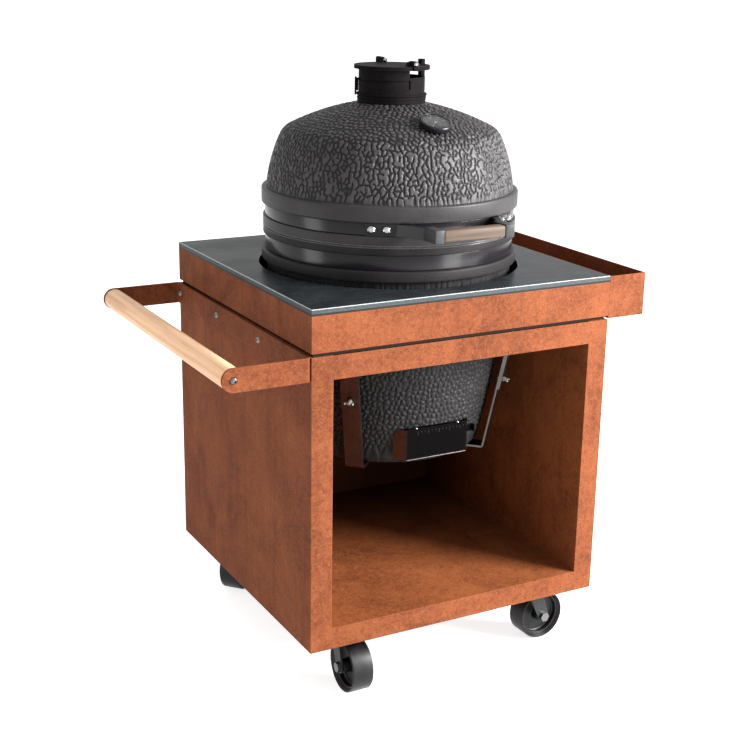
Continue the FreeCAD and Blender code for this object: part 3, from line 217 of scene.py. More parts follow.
def add_block(bm, low, high, bevel=0.001, place=Matrix()):
    """A box between two corners with softened edges."""
    low = Vector(low)
    high = Vector(high)
    size = high - low
    made = bmesh.ops.create_cube(bm, size=1)
    for vert in made["verts"]:
        vert.co = Vector([low[k] + (vert.co[k] + 0.5) * size[k] for k in range(3)])
    edges = list({edge for vert in made["verts"] for edge in vert.link_edges})
    grown = bmesh.ops.bevel(bm, geom=edges, offset=bevel, segments=2, affect="EDGES", profile=0.5)
    corners = {vert for face in grown["faces"] for vert in face.verts} | set(grown["verts"])
    for vert in corners:
        vert.co = place @ vert.co


def add_plate(bm, outline, thickness, place=Matrix(), bevel=0.0):
    """A flat plate: an outline of (x, y) points with a thickness along Z."""
    bottom = [bm.verts.new((x, y, 0)) for x, y in outline]
    top = [bm.verts.new((x, y, thickness)) for x, y in outline]
    lid = bm.faces.new(top)
    floor = bm.faces.new(list(reversed(bottom)))
    join_rings(bm, bottom, top)
    made = set(bottom) | set(top)
    if bevel:
        edges = list(lid.edges) + list(floor.edges)
        grown = bmesh.ops.bevel(bm, geom=edges, offset=bevel, segments=2, affect="EDGES", profile=0.5)
        made = {vert for vert in made if vert.is_valid} | set(grown["verts"])
    for vert in made:
        vert.co = place @ vert.co


def add_tube(bm, points, radius, sides=14):
    """A round wire along a line of points, closed at both ends."""
    points = [Vector(point) for point in points]
    tangents = [(after - before).normalized()
                for before, after in zip([points[0]] + points[:-1], points[1:] + [points[-1]])]
    normal = tangents[0].orthogonal().normalized()
    rings = []
    for point, tangent in zip(points, tangents):
        normal = (normal - tangent * normal.dot(tangent)).normalized()
        across = tangent.cross(normal)
        rings.append([bm.verts.new(point + radius * (normal * math.cos(2 * math.pi * k / sides)
                                                     + across * math.sin(2 * math.pi * k / sides)))
                      for k in range(sides)])
    for lower, upper in zip(rings, rings[1:]):
        join_rings(bm, lower, upper)
    bm.faces.new(list(reversed(rings[0])))
    bm.faces.new(rings[-1])


def placed(name, data):
    """An object in the scene for a mesh, a lamp or a camera."""
    made = bpy.data.objects.new(name, data)
    bpy.context.scene.collection.objects.link(made)
    return made


def mesh_of(name, bm):
    """A mesh from a bmesh, which is freed."""
    mesh = bpy.data.meshes.new(name)
    bm.to_mesh(mesh)
    bm.free()
    return mesh


def piece(name, bm, material, body, stands_for=(), sharp=40):
    """Turns a bmesh into a piece of the object that moves with a body."""
    bmesh.ops.recalc_face_normals(bm, faces=bm.faces)
    return mesh_piece(name, mesh_of(name, bm), material, body, stands_for, sharp)


def mesh_piece(name, mesh, material, body, stands_for=(), sharp=40):
    mesh.shade_smooth()
    mesh.set_sharp_from_angle(angle=math.radians(sharp))
    mesh.materials.append(material)
    made = placed(name, mesh)
    if body:
        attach(made, body)
    if stands_for:
        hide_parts(*stands_for)
    return made


def facing(place, direction):
    """A place whose Z axis points in a direction."""
    return Matrix.Translation(place) @ Vector(direction).to_track_quat("Z", "Y").to_matrix().to_4x4()


# Materials

class Paint:
    """A node material with a few short ways to add its parts."""

    def __init__(self, name, roughness=0.5, metallic=0.0):
        self.material = bpy.data.materials.new(name)
        self.material.use_nodes = True
        self.tree = self.material.node_tree
        self.shader = self.tree.nodes["Principled BSDF"]
        self.shade("Roughness", roughness)
        self.shade("Metallic", metallic)
        self.place = self.add("TexCoord").outputs["Object"]

    def give(self, socket, value):
        """Links a socket to another part's output, or sets it to a number, a scale or a colour."""
        if isinstance(value, bpy.types.NodeSocket):
            self.tree.links.new(value, socket)
        elif socket.type == "RGBA":
            socket.default_value = tuple(value) + (1.0,)
        else:
            socket.default_value = value

    def shade(self, name, value):
        self.give(self.shader.inputs[name], value)
        return self

    def add(self, kind, **values):
        """A node of a kind with its sockets given; an underscore stands for a space in their names."""
        node = self.tree.nodes.new("ShaderNode" + kind)
        for name, value in values.items():
            self.give(node.inputs[name.replace("_", " ")], value)
        return node

    def stretched(self, scale):
        return self.add("Mapping", Scale=scale, Vector=self.place).outputs["Vector"]

    def noise(self, scale, detail=3.0, roughness=0.5, vector=None, distortion=0.0):
        node = self.add("TexNoise", Scale=scale, Detail=detail, Roughness=roughness, Distortion=distortion,
                        Vector=vector or self.place)
        return node.outputs["Fac"]

    def along(self, axis):
        """The place along one axis."""
        return self.add("SeparateXYZ", Vector=self.place).outputs[axis]

    def ramp(self, value, stops):
        """Colours at positions from 0 to 1 along a value."""
        node = self.add("ValToRGB", Fac=value)
        elements = node.color_ramp.elements
        while len(elements) < len(stops):
            elements.new(0.5)
        for element, (position, colour) in zip(elements, stops):
            element.position = position
            element.color = tuple(colour) + (1.0,)
        return node.outputs["Color"]

    def between(self, value, low, high, new_low=0.0, new_high=1.0):
        """A value taken from one range to another and held at its ends."""
        node = self.add("MapRange", From_Min=low, From_Max=high, To_Min=new_low, To_Max=new_high, Value=value)
        return node.outputs["Result"]

    def mix(self, share, first, second):
        node = self.add("Mix")
        node.data_type = "RGBA"
        for index, value in ((0, share), (6, first), (7, second)):
            self.give(node.inputs[index], value)
        return node.outputs[2]

    def over(self, base, colour, value, low, high, share=1.0):
        """A colour laid over a base, from not at all up to a share as a value goes from low to high."""
        return self.mix(self.between(value, low, high, 0.0, share), base, colour)

    def edges(self, radius):
        """Rounds the sharp edges in the shading and gives a share that is 1 along them."""
        rounded_edge = self.add("Bevel", Radius=radius)
        rounded_edge.samples = 4
        flat = self.add("NewGeometry")
        dot = self.add("VectorMath")
        dot.operation = "DOT_PRODUCT"
        self.give(dot.inputs[0], rounded_edge.outputs["Normal"])
        self.give(dot.inputs[1], flat.outputs["Normal"])
        self.shade("Normal", rounded_edge.outputs["Normal"])
        return self.between(dot.outputs["Value"], 0.98, 0.86)

    def attribute(self, name):
        node = self.add("Attribute")
        node.attribute_name = name
        return node.outputs["Fac"]

    def specular(self, level):
        return self.shade("Specular IOR Level", level)

    def colour(self, value):
        return self.shade("Base Color", value)

    def rough(self, value, low, high):
        return self.shade("Roughness", self.between(value, 0.3, 0.7, low, high))

    def bump(self, height, depth):
        """Adds fine relief to the shading, on top of what is there."""
        node = self.add("Bump", Distance=depth, Height=height)
        previous = self.shader.inputs["Normal"].links
        if previous:
            self.give(node.inputs["Normal"], previous[0].from_socket)
        return self.shade("Normal", node.outputs["Normal"])


def scaled(colour, factor, lift=0.0):
    """A colour made lighter or darker by a factor, then lifted."""
    return tuple(min(1.0, channel * factor + lift) for channel in colour)


def corten(name, dark, main, light, bright, painted_shade_from=None):
    """Weathered steel: fine rust grain over cloudy patches, faint upright runs and worn, lighter edges.

    Where a depth is given, the steel darkens towards the back from there, as painted shade inside the
    cabinet.
    """
    paint = Paint(name, 0.72).specular(0.06)
    worn = paint.edges(0.0016)
    grain = paint.noise(310, 4, 0.72)
    blotches = paint.noise(95, 5, 0.72, distortion=0.5)
    clouds = paint.noise(6.5, 5, 0.62, distortion=0.9)
    runs = paint.noise(34, 4, 0.6, vector=paint.stretched((1, 1, 0.10)))
    base = paint.ramp(clouds, [(0.32, dark), (0.50, main), (0.70, light)])
    base = paint.over(base, light, blotches, 0.44, 0.62, 0.60)
    base = paint.over(base, dark, blotches, 0.46, 0.34, 0.55)
    base = paint.over(base, dark, runs, 0.50, 0.72, 0.45)
    base = paint.over(base, dark, grain, 0.46, 0.32, 0.42)
    base = paint.over(base, bright, grain, 0.53, 0.70, 0.42)
    base = paint.over(base, bright, worn, 0.0, 1.0, 0.55)
    # Painted shade: the steel darkens towards the cabinet's back, where the shade falls.
    if painted_shade_from is not None:
        base = paint.over(base, scaled(dark, 0.30), paint.along("Y"), painted_shade_from, painted_shade_from + 0.32, 0.95)
    paint.colour(base)
    paint.rough(blotches, 0.60, 0.82)
    paint.bump(blotches, 0.0005)
    paint.bump(grain, 0.0003)
    return paint.material


def slate(name):
    """Honed dark slab with cloudy blue-grey mineral patches."""
    paint = Paint(name, 0.3).specular(0.025)
    clouds = paint.noise(5, 8, 0.62, distortion=1.4)
    veins = paint.noise(19, 6, 0.6, vector=paint.stretched((1, 2.2, 1)), distortion=0.6)
    fine = paint.noise(300, 4, 0.6)
    base = paint.ramp(clouds, [(0.30, (0.008, 0.0095, 0.0105)), (0.52, (0.013, 0.0155, 0.017)),
                               (0.74, (0.023, 0.027, 0.0285))])
    base = paint.over(base, (0.031, 0.036, 0.038), veins, 0.50, 0.72, 0.45)
    base = paint.over(base, (0.013, 0.015, 0.016), fine, 0.35, 0.65, 0.30)
    paint.colour(base)
    paint.rough(clouds, 0.20, 0.34)
    paint.bump(fine, 0.00006)
    paint.bump(veins, 0.00015)
    return paint.material


def slab_side(name, dark, light, low, high, shade_below=None):
    """The slab's ground side, with a painted shadow below a level where the gap under the slab lies; with
    light colours, the bevel's painted highlight.
    """
    paint = Paint(name, (low + high) / 2).specular(0.15)
    fine = paint.noise(300)
    long = paint.noise(14)
    base = paint.ramp(fine, [(0.35, dark), (0.65, light)])
    base = paint.over(base, dark, long, 0.35, 0.65, 0.4)
    if shade_below is not None:
        # Painted shadow of the gap between the slab and the rim under it.
        joint = (0.004, 0.002, 0.0015)
        base = paint.over(base, joint, paint.along("Z"), shade_below + 0.0004, shade_below - 0.0004)
    paint.colour(base)
    paint.rough(fine, low, high)
    paint.bump(fine, 0.0001)
    return paint.material


def wood(name, dark, light, along, ring_scale=55.0, level=0.5):
    """Straight-grained wood with its fibres along one axis (0, 1 or 2)."""
    paint = Paint(name, 0.48).specular(level)
    squeeze = [1.0, 1.0, 1.0]
    squeeze[along] = 0.035
    fibres = paint.noise(ring_scale * 9, 4, 0.6, vector=paint.stretched(squeeze))
    bands = paint.noise(ring_scale, vector=paint.stretched(squeeze), distortion=0.3)
    base = paint.ramp(bands, [(0.32, dark), (0.55, light), (0.75, dark)])
    paint.colour(paint.over(base, dark, fibres, 0.56, 0.74, 0.45))
    paint.rough(fibres, 0.42, 0.58)
    paint.bump(fibres, 0.00015)
    return paint.material


def fired_ceramic(name, share=1.0):
    """Dark glazed ceramic: soft satin on the raised skin, with painted shade down in its grooves and a darker
    tone on its smooth stretches; a share below 1 makes a darker copy, as painted shade.
    """
    paint = Paint(name, 0.46).specular(0.15 * share)
    groove = paint.attribute("groove")
    peel = paint.noise(430, 3, 0.6)
    cloud = paint.noise(11, 4, 0.55)
    low = scaled((0.025, 0.0228, 0.0236), share)
    high = scaled((0.038, 0.035, 0.036), share)
    speck = scaled((0.066, 0.062, 0.064), share)
    skin = paint.ramp(cloud, [(0.35, low), (0.65, high)])
    skin = paint.over(skin, speck, peel, 0.46, 0.64, 0.35)
    # The grooves darken towards near black: painted shade in the hollows; the smooth stretches take a darker
    # tone the same way.
    paint.colour(paint.over(skin, (0.004, 0.0035, 0.0035), groove, 0.10, 0.60, 0.84))
    paint.rough(peel, 0.36, 0.52)
    paint.bump(peel, 0.00016)
    return paint.material


def enamel(name, colour, low=0.25, high=0.38, lighter=1.3, level=0.3, relief=0.00003):
    """Smooth paint with a faint orange peel, rubbed lighter along its edges."""
    paint = Paint(name, (low + high) / 2).specular(level)
    worn = paint.edges(0.0008)
    peel = paint.noise(240, 2, 0.5)
    rubbed = scaled(colour, 2.2, 0.02)
    base = paint.ramp(peel, [(0.35, colour), (0.7, scaled(colour, lighter))])
    paint.colour(paint.over(base, rubbed, worn, 0.0, 1.0, 0.6))
    paint.rough(peel, low, high)
    paint.bump(peel, relief)
    return paint.material


def cast(name, colour, grain=0.00025, level=0.25):
    """Cast iron under a black coat: a fine pebbled skin."""
    paint = Paint(name, 0.5).specular(level)
    worn = paint.edges(0.0010)
    pebbles = paint.noise(700, 3, 0.6)
    broad = paint.noise(60)
    rubbed = scaled(colour, 3, 0.01)
    base = paint.ramp(broad, [(0.3, colour), (0.7, scaled(colour, 1.5))])
    paint.colour(paint.over(base, rubbed, worn, 0.0, 1.0, 0.5))
    paint.rough(pebbles, 0.42, 0.58)
    paint.bump(pebbles, grain)
    return paint.material


def metal(name, colour, low=0.2, high=0.34, along=None):
    """Bare metal, brushed along an axis if one is given."""
    paint = Paint(name, (low + high) / 2, 1.0)
    squeeze = (1, 1, 1)
    if along is not None:
        squeeze = tuple(0.03 if axis == along else 1.0 for axis in range(3))
    lines = paint.noise(900, 3, 0.6, vector=paint.stretched(squeeze))
    smears = paint.noise(24, 4, 0.6)
    paint.colour(paint.ramp(smears, [(0.3, scaled(colour, 0.72)), (0.65, colour)]))
    paint.rough(lines, low, high)
    paint.bump(lines, 0.00004)
    return paint.material


def fire_clay(name):
    paint = Paint(name, 0.85)
    grains = paint.noise(220, 4, 0.65)
    clouds = paint.noise(16, 4, 0.6)
    base = paint.ramp(clouds, [(0.3, (0.34, 0.27, 0.20)), (0.7, (0.50, 0.42, 0.33))])
    paint.colour(paint.over(base, (0.20, 0.15, 0.11), grains, 0.5, 0.75, 0.6))
    paint.bump(grains, 0.0005)
    return paint.material


def felt(name):
    paint = Paint(name, 0.95)
    fluff = paint.noise(900, 4, 0.7)
    paint.colour(paint.ramp(fluff, [(0.35, (0.02, 0.02, 0.02)), (0.7, (0.07, 0.068, 0.065))]))
    paint.bump(fluff, 0.0006)
    return paint.material


def moulded(name, colour):
    """Wheel plastic: satin, scuffed lighter in places, with a faint moulded texture."""
    paint = Paint(name, 0.42).specular(0.22)
    skin = paint.noise(500, 2, 0.5)
    scuffs = paint.noise(40, 5, 0.65)
    paint.colour(paint.ramp(scuffs, [(0.4, colour), (0.75, scaled(colour, 1.9))]))
    paint.rough(scuffs, 0.30, 0.44)
    paint.bump(skin, 0.00006)
    return paint.material


def dial_glass(name):
    """Thin clear lens with a few smudges."""
    paint = Paint(name, 0.04).specular(0.12)
    paint.colour((0.95, 0.97, 0.98))
    paint.shade("Transmission Weight", 1.0)
    paint.shade("IOR", 1.15)
    paint.rough(paint.noise(60), 0.02, 0.07)
    return paint.material


RUST = corten("corten", (0.064, 0.0165, 0.0062), (0.109, 0.0300, 0.0112), (0.150, 0.044, 0.0160),
              (0.245, 0.086, 0.036))
# Its last number is where the painted shade towards the back starts.
RUST_INSIDE = corten("corten_inside", (0.076, 0.021, 0.008), (0.132, 0.038, 0.012), (0.168, 0.051, 0.017),
                     (0.235, 0.082, 0.030), -0.02)
SLATE = slate("slate")
SLAB_SIDE = slab_side("slab_side", (0.018, 0.023, 0.024), (0.036, 0.044, 0.046), 0.40, 0.55,
                      high_of("worktop").z - BEVELLED_SIDE)
# The bevel's light grey is a painted highlight: the bright line along the slab's top edge.
SLAB_BEVEL_HIGHLIGHT = slab_side("slab_bevel_highlight", (0.24, 0.25, 0.26), (0.36, 0.38, 0.39), 0.2, 0.3)
BEECH = wood("beech", (0.40, 0.215, 0.100), (0.62, 0.375, 0.210), 1)
OAK = wood("oak", (0.042, 0.029, 0.021), (0.080, 0.058, 0.044), 0, 80.0, 0.08)
CERAMIC = fired_ceramic("ceramic")
# A darker copy of the ceramic for the base: painted shade for where it sits under the slab.
CERAMIC_SHADED = fired_ceramic("ceramic_shaded", 0.42)
# Glossy lip edges, painted a lighter grey than the ceramic as a painted highlight.
GLAZED_EDGE_HIGHLIGHT = enamel("glazed_edge_highlight", (0.045, 0.043, 0.043), 0.2, 0.3, 1.2, 0.4)
BAND = enamel("band_black", (0.007, 0.006, 0.007), 0.20, 0.22, 1.05, 0.22, 0.000006)
VENT = cast("vent_black", (0.0050, 0.0042, 0.0046), 0.0002, 0.008)
IRON = cast("grate_iron", (0.025, 0.024, 0.023), 0.0006)
CHROME = metal("bright_steel", (0.42, 0.42, 0.43), 0.10, 0.20)
BOLT_STEEL = metal("bolt_steel", (0.20, 0.19, 0.185), 0.22, 0.32)
ZINC = enamel("zinc", (0.16, 0.155, 0.15), 0.3, 0.45, 1.4, 0.5)
STRAP = metal("strap_steel", (0.075, 0.060, 0.055), 0.26, 0.38, 2)
# Lighter steel for the straps' edges: a painted highlight of their thin bright lines.
STRAP_EDGE_HIGHLIGHT = metal("strap_edge_highlight", (0.115, 0.105, 0.098), 0.28, 0.38, 2)
CASTER_STEEL = enamel("caster_black", (0.010, 0.012, 0.0115), 0.32, 0.44, 1.6, 0.2)
BLOCK_STEEL = enamel("block_steel", (0.024, 0.024, 0.0255), 0.36, 0.46, 1.3, 0.12)
SPRING_STEEL = metal("spring_steel", (0.20, 0.20, 0.21), 0.26, 0.4)
BLACK_STEEL = enamel("black_steel", (0.007, 0.007, 0.007), 0.28, 0.38, 1.3, 0.18)
SUPPORT = enamel("support_steel", (0.012, 0.006, 0.004), 0.5, 0.6, 1.4, 0.05)
DRAFT = enamel("draft_steel", (0.0012, 0.0010, 0.0011), 0.16, 0.22, 1.2, 0.012)
DRAFT_SIDE = metal("draft_side", (0.085, 0.070, 0.066), 0.22, 0.30)
CLAY = fire_clay("fire_clay")
FELT = felt("felt")
WHEEL = moulded("wheel_black", (0.0045, 0.004, 0.0045))
DIAL_FACE = enamel("dial_face", (0.044, 0.041, 0.042), 0.4, 0.5, 1.5, 0.1)
DIAL_MARK = enamel("dial_mark", (0.13, 0.125, 0.125), 0.4, 0.5)
DOOR_MARK = enamel("door_mark", (0.022, 0.021, 0.021), 0.4, 0.5)
# A light grey for the draft housing's lower edge: a painted highlight.
RAIL_EDGE_HIGHLIGHT = enamel("rail_edge_highlight", (0.11, 0.105, 0.10), 0.3, 0.4)
NEEDLE = enamel("needle_grey", (0.16, 0.15, 0.15), 0.35, 0.45)
GLASS = dial_glass("dial_glass")

# The material of each node that shows, by how its name starts; a later row goes over an earlier one
CAD_PAINT = (
    (RUST, ("cabinet_", "top_rim", "side_tray", "handle_bracket")),
    (RUST_INSIDE, ("cabinet_liner",)),
    (SUPPORT, ("support_frame",)),
    (SLATE, ("worktop",)),
    (FELT, ("seam_gasket",)),
    (BLACK_STEEL, ("hinge_lower_bracket", "hinge_upper_bracket", "kamado_handle_arms")),
    (CHROME, ("hinge_pin",)),
    (VENT, ("vent_",)),
    (DRAFT, ("draft_",)),
    (CLAY, ("fire_",)),
    (IRON, ("charcoal_grate", "cooking_grate")),
    (NEEDLE, ("thermometer_needle",)),
    (STRAP, ("strap_",)),
    (CASTER_STEEL, ("caster_",)),
)


def paint_cad_nodes():
    """Gives each node that shows its material and smooth shading inside each of its faces."""
    for material, starts in CAD_PAINT:
        for name, made in nodes.items():
            if name.startswith(starts):
                made.data.materials.clear()
                made.data.materials.append(material)
                made.data.shade_smooth()
                made.data.set_sharp_from_angle(angle=math.radians(32))


def paint_faces(node, material, chosen):
    """Gives one more material to the faces of a node that a test picks."""
    mesh = nodes[node].data
    mesh.materials.append(material)
    for face in mesh.polygons:
        if chosen(face):
            face.material_index = len(mesh.materials) - 1


def paint_slab_edge():
    """The slab's side is ground; its bevel is painted light grey as a painted highlight."""
    paint_faces("worktop", SLAB_SIDE, lambda face: face.normal.z < 0.3)
    paint_faces("worktop", SLAB_BEVEL_HIGHLIGHT, lambda face: 0.3 <= face.normal.z < 0.95)


def paint_strap_edges():
    """The straps' edges are painted brighter than their faces, as a painted highlight."""
    for name in nodes:
        if not name.startswith("strap_") or name == "strap_bolts":
            continue
        outward = middle(name) - GRILL
        across = Vector((-outward.y, outward.x, 0)).normalized()
        paint_faces(name, STRAP_EDGE_HIGHLIGHT, lambda face: abs(face.normal.dot(across)) > 0.9)


def paint_draft_sides():
    """The draft housing's end faces are smoother than its front and mirror the cabinet's walls."""
    paint_faces("draft_housing", DRAFT_SIDE,
                lambda face: abs(face.normal.x) > 0.3 and abs(face.normal.z) < 0.3)


def joints_at(start):
    """Each joint whose name starts so, with the caster that it belongs to."""
    return [(name[len(start):], joint) for name, joint in joints.items() if name.startswith(start)]


def paint_axle_bolts():
    """The axle bolts' heads and nuts are bare steel; the forks round them are black."""
    leg_face = 0.0296
    for spot, joint in joints_at("roll_"):
        centre = Vector(joint["pos_m"])
        axis = Vector(joint["axis"])
        paint_faces("caster_%s_fork" % spot, BOLT_STEEL,
                    lambda face: abs((face.center - centre).dot(axis)) > leg_face)


# Ceramic base and dome

def smooth_step(value):
    value = max(0.0, min(1.0, value))
    return value * value * (3 - 2 * value)


def seeds_on(outline, pebbles_from):
    """Cells' middles, spread in jittered rings over the turned surface of an outline."""
    chance = random.Random(11)
    seeds = []
    travelled = 0.0
    for start, end in zip(outline, outline[1:]):
        pebbles = end[1] >= pebbles_from
        tall = PEBBLE if pebbles else CELL_HEIGHT
        wide = PEBBLE if pebbles else CELL
        travelled += math.dist(start, end)
        if travelled < tall:
            continue
        travelled -= tall
        along = (Vector(end) - Vector(start)).normalized()
        count = max(6, round(2 * math.pi * end[0] / wide))
        turn = chance.random()
        for k in range(count):
            angle = 2 * math.pi * (k + turn + chance.uniform(-0.34, 0.34)) / count
            radius, height = Vector(end) + along * tall * chance.uniform(-0.36, 0.36)
            seeds.append(GRILL + polar(radius, angle, height))
    return seeds


class Relief:
    """Grooves between neighbouring cells: all of them above a level, mostly the upright ones below it.

    Their wobble comes from Blender's noise, which starts from the clock, so it differs in every run.
    """

    def __init__(self, outline, pebbles_from):
        self.pebbles_from = pebbles_from
        self.seeds = seeds_on(outline, pebbles_from)
        self.tree = kdtree.KDTree(len(self.seeds))
        for index, seed in enumerate(self.seeds):
            self.tree.insert(seed, index)
        self.tree.balance()
        self.known = {}

    def has_groove(self, first, second):
        pair = (min(first, second), max(first, second))
        if pair not in self.known:
            across = self.seeds[pair[1]] - self.seeds[pair[0]]
            between = (self.seeds[pair[0]] + self.seeds[pair[1]]) / 2
            outward = between - GRILL
            around = Vector((-outward.y, outward.x, 0)).normalized()
            upright = abs(across.dot(around)) / across.length
            chance = random.Random(pair[0] * 7919 + pair[1]).random()
            worm = chance < LEVEL_SHARE + (UPRIGHT_SHARE - LEVEL_SHARE) * upright
            self.known[pair] = worm or between.z >= self.pebbles_from
        return self.known[pair]

    def depth(self, point):
        """How far a point lies in a groove, from 0 to 1, and how deep the grooves are there."""
        pebbles = smooth_step((point.z - self.pebbles_from + 0.006) / 0.012)
        width = GROOVE_WIDTH + (PEBBLE_GROOVE - GROOVE_WIDTH) * pebbles
        point = point + noise.noise_vector(point * 95) * 0.0020
        (_, a, nearest), (_, b, second), (_, c, third) = self.tree.find_n(point, 3)
        line = 0.0
        if self.has_groove(a, b):
            line = 1 - smooth_step((second - nearest) / width)
        if self.has_groove(a, c) or self.has_groove(b, c):
            line = max(line, 1 - smooth_step((third - nearest) / width))
        return line, GROOVE_DEPTH + (PEBBLE_DEPTH - GROOVE_DEPTH) * pebbles


def add_relief_turning(name, outline, marks, relief, groove_shade_and_tone, material, body, stands_for, segments):
    """A closed turned shape whose marked stretch has grooves pressed into it.

    The two darkenings, from 0 to 1, say how much painted shade the grooves get and how much darker the smooth
    stretches' own tone is.
    """
    groove_shade, smooth_tone = groove_shade_and_tone
    count = len(outline)
    verts = []
    grooves = []
    for k, (radius, height) in enumerate(outline):
        before = outline[k - 1]
        after = outline[(k + 1) % count]
        along = Vector((after[0] - before[0], after[1] - before[1])).normalized()
        for j in range(segments):
            angle = 2 * math.pi * j / segments
            direction = polar(1, angle)
            point = GRILL + direction * radius + Vector((0, 0, height))
            share, deepest = relief.depth(point) if marks[k] > 0 else (0.0, 0.0)
            depth = share * marks[k]
            sink = -deepest * depth
            verts.append(point + direction * (along.y * sink) - Vector((0, 0, along.x * sink)))
            grooves.append(depth * groove_shade if marks[k] > 0 else smooth_tone)
    faces = []
    for k in range(count):
        here = k * segments
        after = (k + 1) % count * segments
        for j in range(segments):
            beside = (j + 1) % segments
            faces.append((here + j, here + beside, after + beside, after + j))
    mesh = bpy.data.meshes.new(name)
    mesh.from_pydata(verts, [], faces)
    groove = mesh.attributes.new("groove", "FLOAT", "POINT")
    groove.data.foreach_set("value", grooves)
    return mesh_piece(name, mesh, material, body, stands_for)


def chord(low, high):
    """The radius, at a height, of the straight line between two (radius, height) points."""
    return lambda height: low[0] + (high[0] - low[0]) * (height - low[1]) / (high[1] - low[1])


def marked(outline, step, low, high, outer):
    """Splits an outline finely where it lies between two heights outside a radius, and marks that part."""
    closed = outline + [outline[0]]
    points = []
    for start, end in zip(closed, closed[1:]):
        inside = all(low <= p[1] <= high and p[0] >= outer(p[1]) for p in (start, end))
        points.extend(finer([start, end], step if inside else 0.02)[:-1])
    marks = []
    for radius, height in points:
        edge = min(height - low, high - height)
        inside = edge >= 0 and radius >= outer(height)
        marks.append(smooth_step(edge / 0.006) if inside else 0.0)
    return points, marks


def ceramic_dome():
    lip_top = low_of("dome_band").z - GAP
    band_top = high_of("dome_band").z + GAP
    ring_top = band_top + DOME_RING_TALL
    shoulder = ring_top + SIDE_RISE
    crown = shoulder + SHOULDER_RISE
    crown_end = crown + CROWN_RISE
    outer_side = arc((SEAT_RADIUS, ring_top), (SHOULDER_RADIUS, shoulder), SIDE_BULGE, 14)
    outer_side += arc((SHOULDER_RADIUS, shoulder), (CROWN_START, crown), SHOULDER_BULGE, 8)
    outer_side += arc((CROWN_START, crown), (CROWN_END, crown_end), CROWN_BULGE, 16)
    lower = rounded([
        (MOUTH_RADIUS, dome_low, 0.002), (LIP_RADIUS, dome_low, 0.0018), (LIP_RADIUS, lip_top, 0.0018),
        (SEAT_RADIUS, lip_top, 0.0), (SEAT_RADIUS, band_top, 0.0), (ring_radius, band_top, 0.0035),
        (ring_radius, ring_top, 0.0045), (SEAT_RADIUS, ring_top, 0.0)], closed=False)
    upper = [(VENT_NECK, crown_end + 0.001), (VENT_NECK, dome_high), (VENT_BORE, dome_high),
             (VENT_BORE, crown_end - WALL / 2), (CROWN_START - WALL / 2, crown - WALL),
             (SEAT_RADIUS - WALL, ring_top)]
    step = 0.0013
    in_side = chord((SEAT_RADIUS - WALL / 2, ring_top), (CROWN_START - 0.001, crown))
    in_crown = chord((CROWN_START - WALL, crown), (CROWN_END - WALL, crown_end))

    def wall_middle(height):
        """A radius inside the wall, so that only the outer skin takes the relief."""
        return max(CROWN_END - 0.001, in_crown(height)) if height > crown else in_side(height)

    points, marks = marked(lower + outer_side + upper, step, ring_top + 0.001, crown_end + 0.004, wall_middle)
    segments = 1250
    relief = Relief(finer([(SEAT_RADIUS, ring_top)] + outer_side, 0.001), shoulder + 0.008)
    # Full painted shade in the dome's grooves; its smooth rings and lips a darker tone.
    add_relief_turning("ceramic_dome", points, marks, relief, (1.0, 0.33), CERAMIC, "dome", ("kamado_dome",),
                       segments)


def ceramic_base():
    band_low = low_of("base_band").z - GAP
    lip_low = high_of("base_band").z + GAP
    ring_low = band_low - BASE_RING_TALL
    floor = base_low + WALL
    foot = (FOOT_RADIUS + 0.0025, base_low + 0.010)
    side = arc(foot, (NECK_UNDER_RING, ring_low), BASE_BULGE, 20)
    low_corner = rounded([(FOOT_RADIUS - 0.010, base_low, 0.004), (foot[0], foot[1], 0.004),
                          (foot[0] + 0.003, foot[1] + 0.02, 0)], closed=False)[:-1]
    outline = [(0.02, base_low)] + low_corner + side
    upper = rounded([
        (NECK_UNDER_RING, ring_low, 0.0), (ring_radius, ring_low, 0.0045), (ring_radius, band_low, 0.0035),
        (SEAT_RADIUS, band_low, 0.0), (SEAT_RADIUS, lip_low, 0.0), (LIP_RADIUS, lip_low, 0.0018),
        (LIP_RADIUS, base_high, 0.0018), (MOUTH_RADIUS, base_high, 0.002)], closed=False)[1:]
    inner = [(0.224, (base_low + base_high) / 2), (FOOT_RADIUS - WALL, floor), (0.02, floor)]
    step = 0.0016
    points, marks = marked(outline + upper + inner, step, base_low + 0.003, ring_low - 0.001,
                           chord((FOOT_RADIUS - 0.006, base_low), (NECK_UNDER_RING - 0.006, ring_low)))
    segments = 1100
    relief = Relief(finer(side, 0.001), 0.0)
    # The base takes the darker ceramic, painted shade, and only faint painted shade in its grooves.
    made = add_relief_turning("ceramic_base", points, marks, relief, (0.22, 0.0), CERAMIC_SHADED, "table",
                              ("kamado_base",), segments)
    cut_draft_opening(made)


def cut_draft_opening(base):
    """Flattens the ceramic behind the draft housing and opens the window in it."""
    low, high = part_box("draft_housing")
    seat = low.y + 0.0113
    reach = (high.x - low.x) / 2 + 0.004
    for vert in base.data.vertices:
        in_width = abs(vert.co.x - grill_x) < reach
        in_height = low.z - 0.002 < vert.co.z < high.z + 0.003
        if in_width and in_height and vert.co.y < seat:
            vert.co.y = seat
    bm = bmesh.new()
    half_window = 0.058
    window_low = low.z + 0.0125
    window_high = window_low + 0.041
    add_block(bm, (grill_x - half_window, low.y - 0.05, window_low),
              (grill_x + half_window, grill_y - 0.09, window_high))
    cutter = placed("window_cutter", mesh_of("window_cutter", bm))
    knife = base.modifiers.new("window", "BOOLEAN")
    knife.object = cutter
    knife.operation = "DIFFERENCE"
    knife.solver = "FAST"
    bpy.context.view_layer.update()
    evaluated = base.evaluated_get(bpy.context.evaluated_depsgraph_get())
    opened = bpy.data.meshes.new_from_object(evaluated)
    base.modifiers.clear()
    base.data = opened
    bpy.data.objects.remove(cutter)


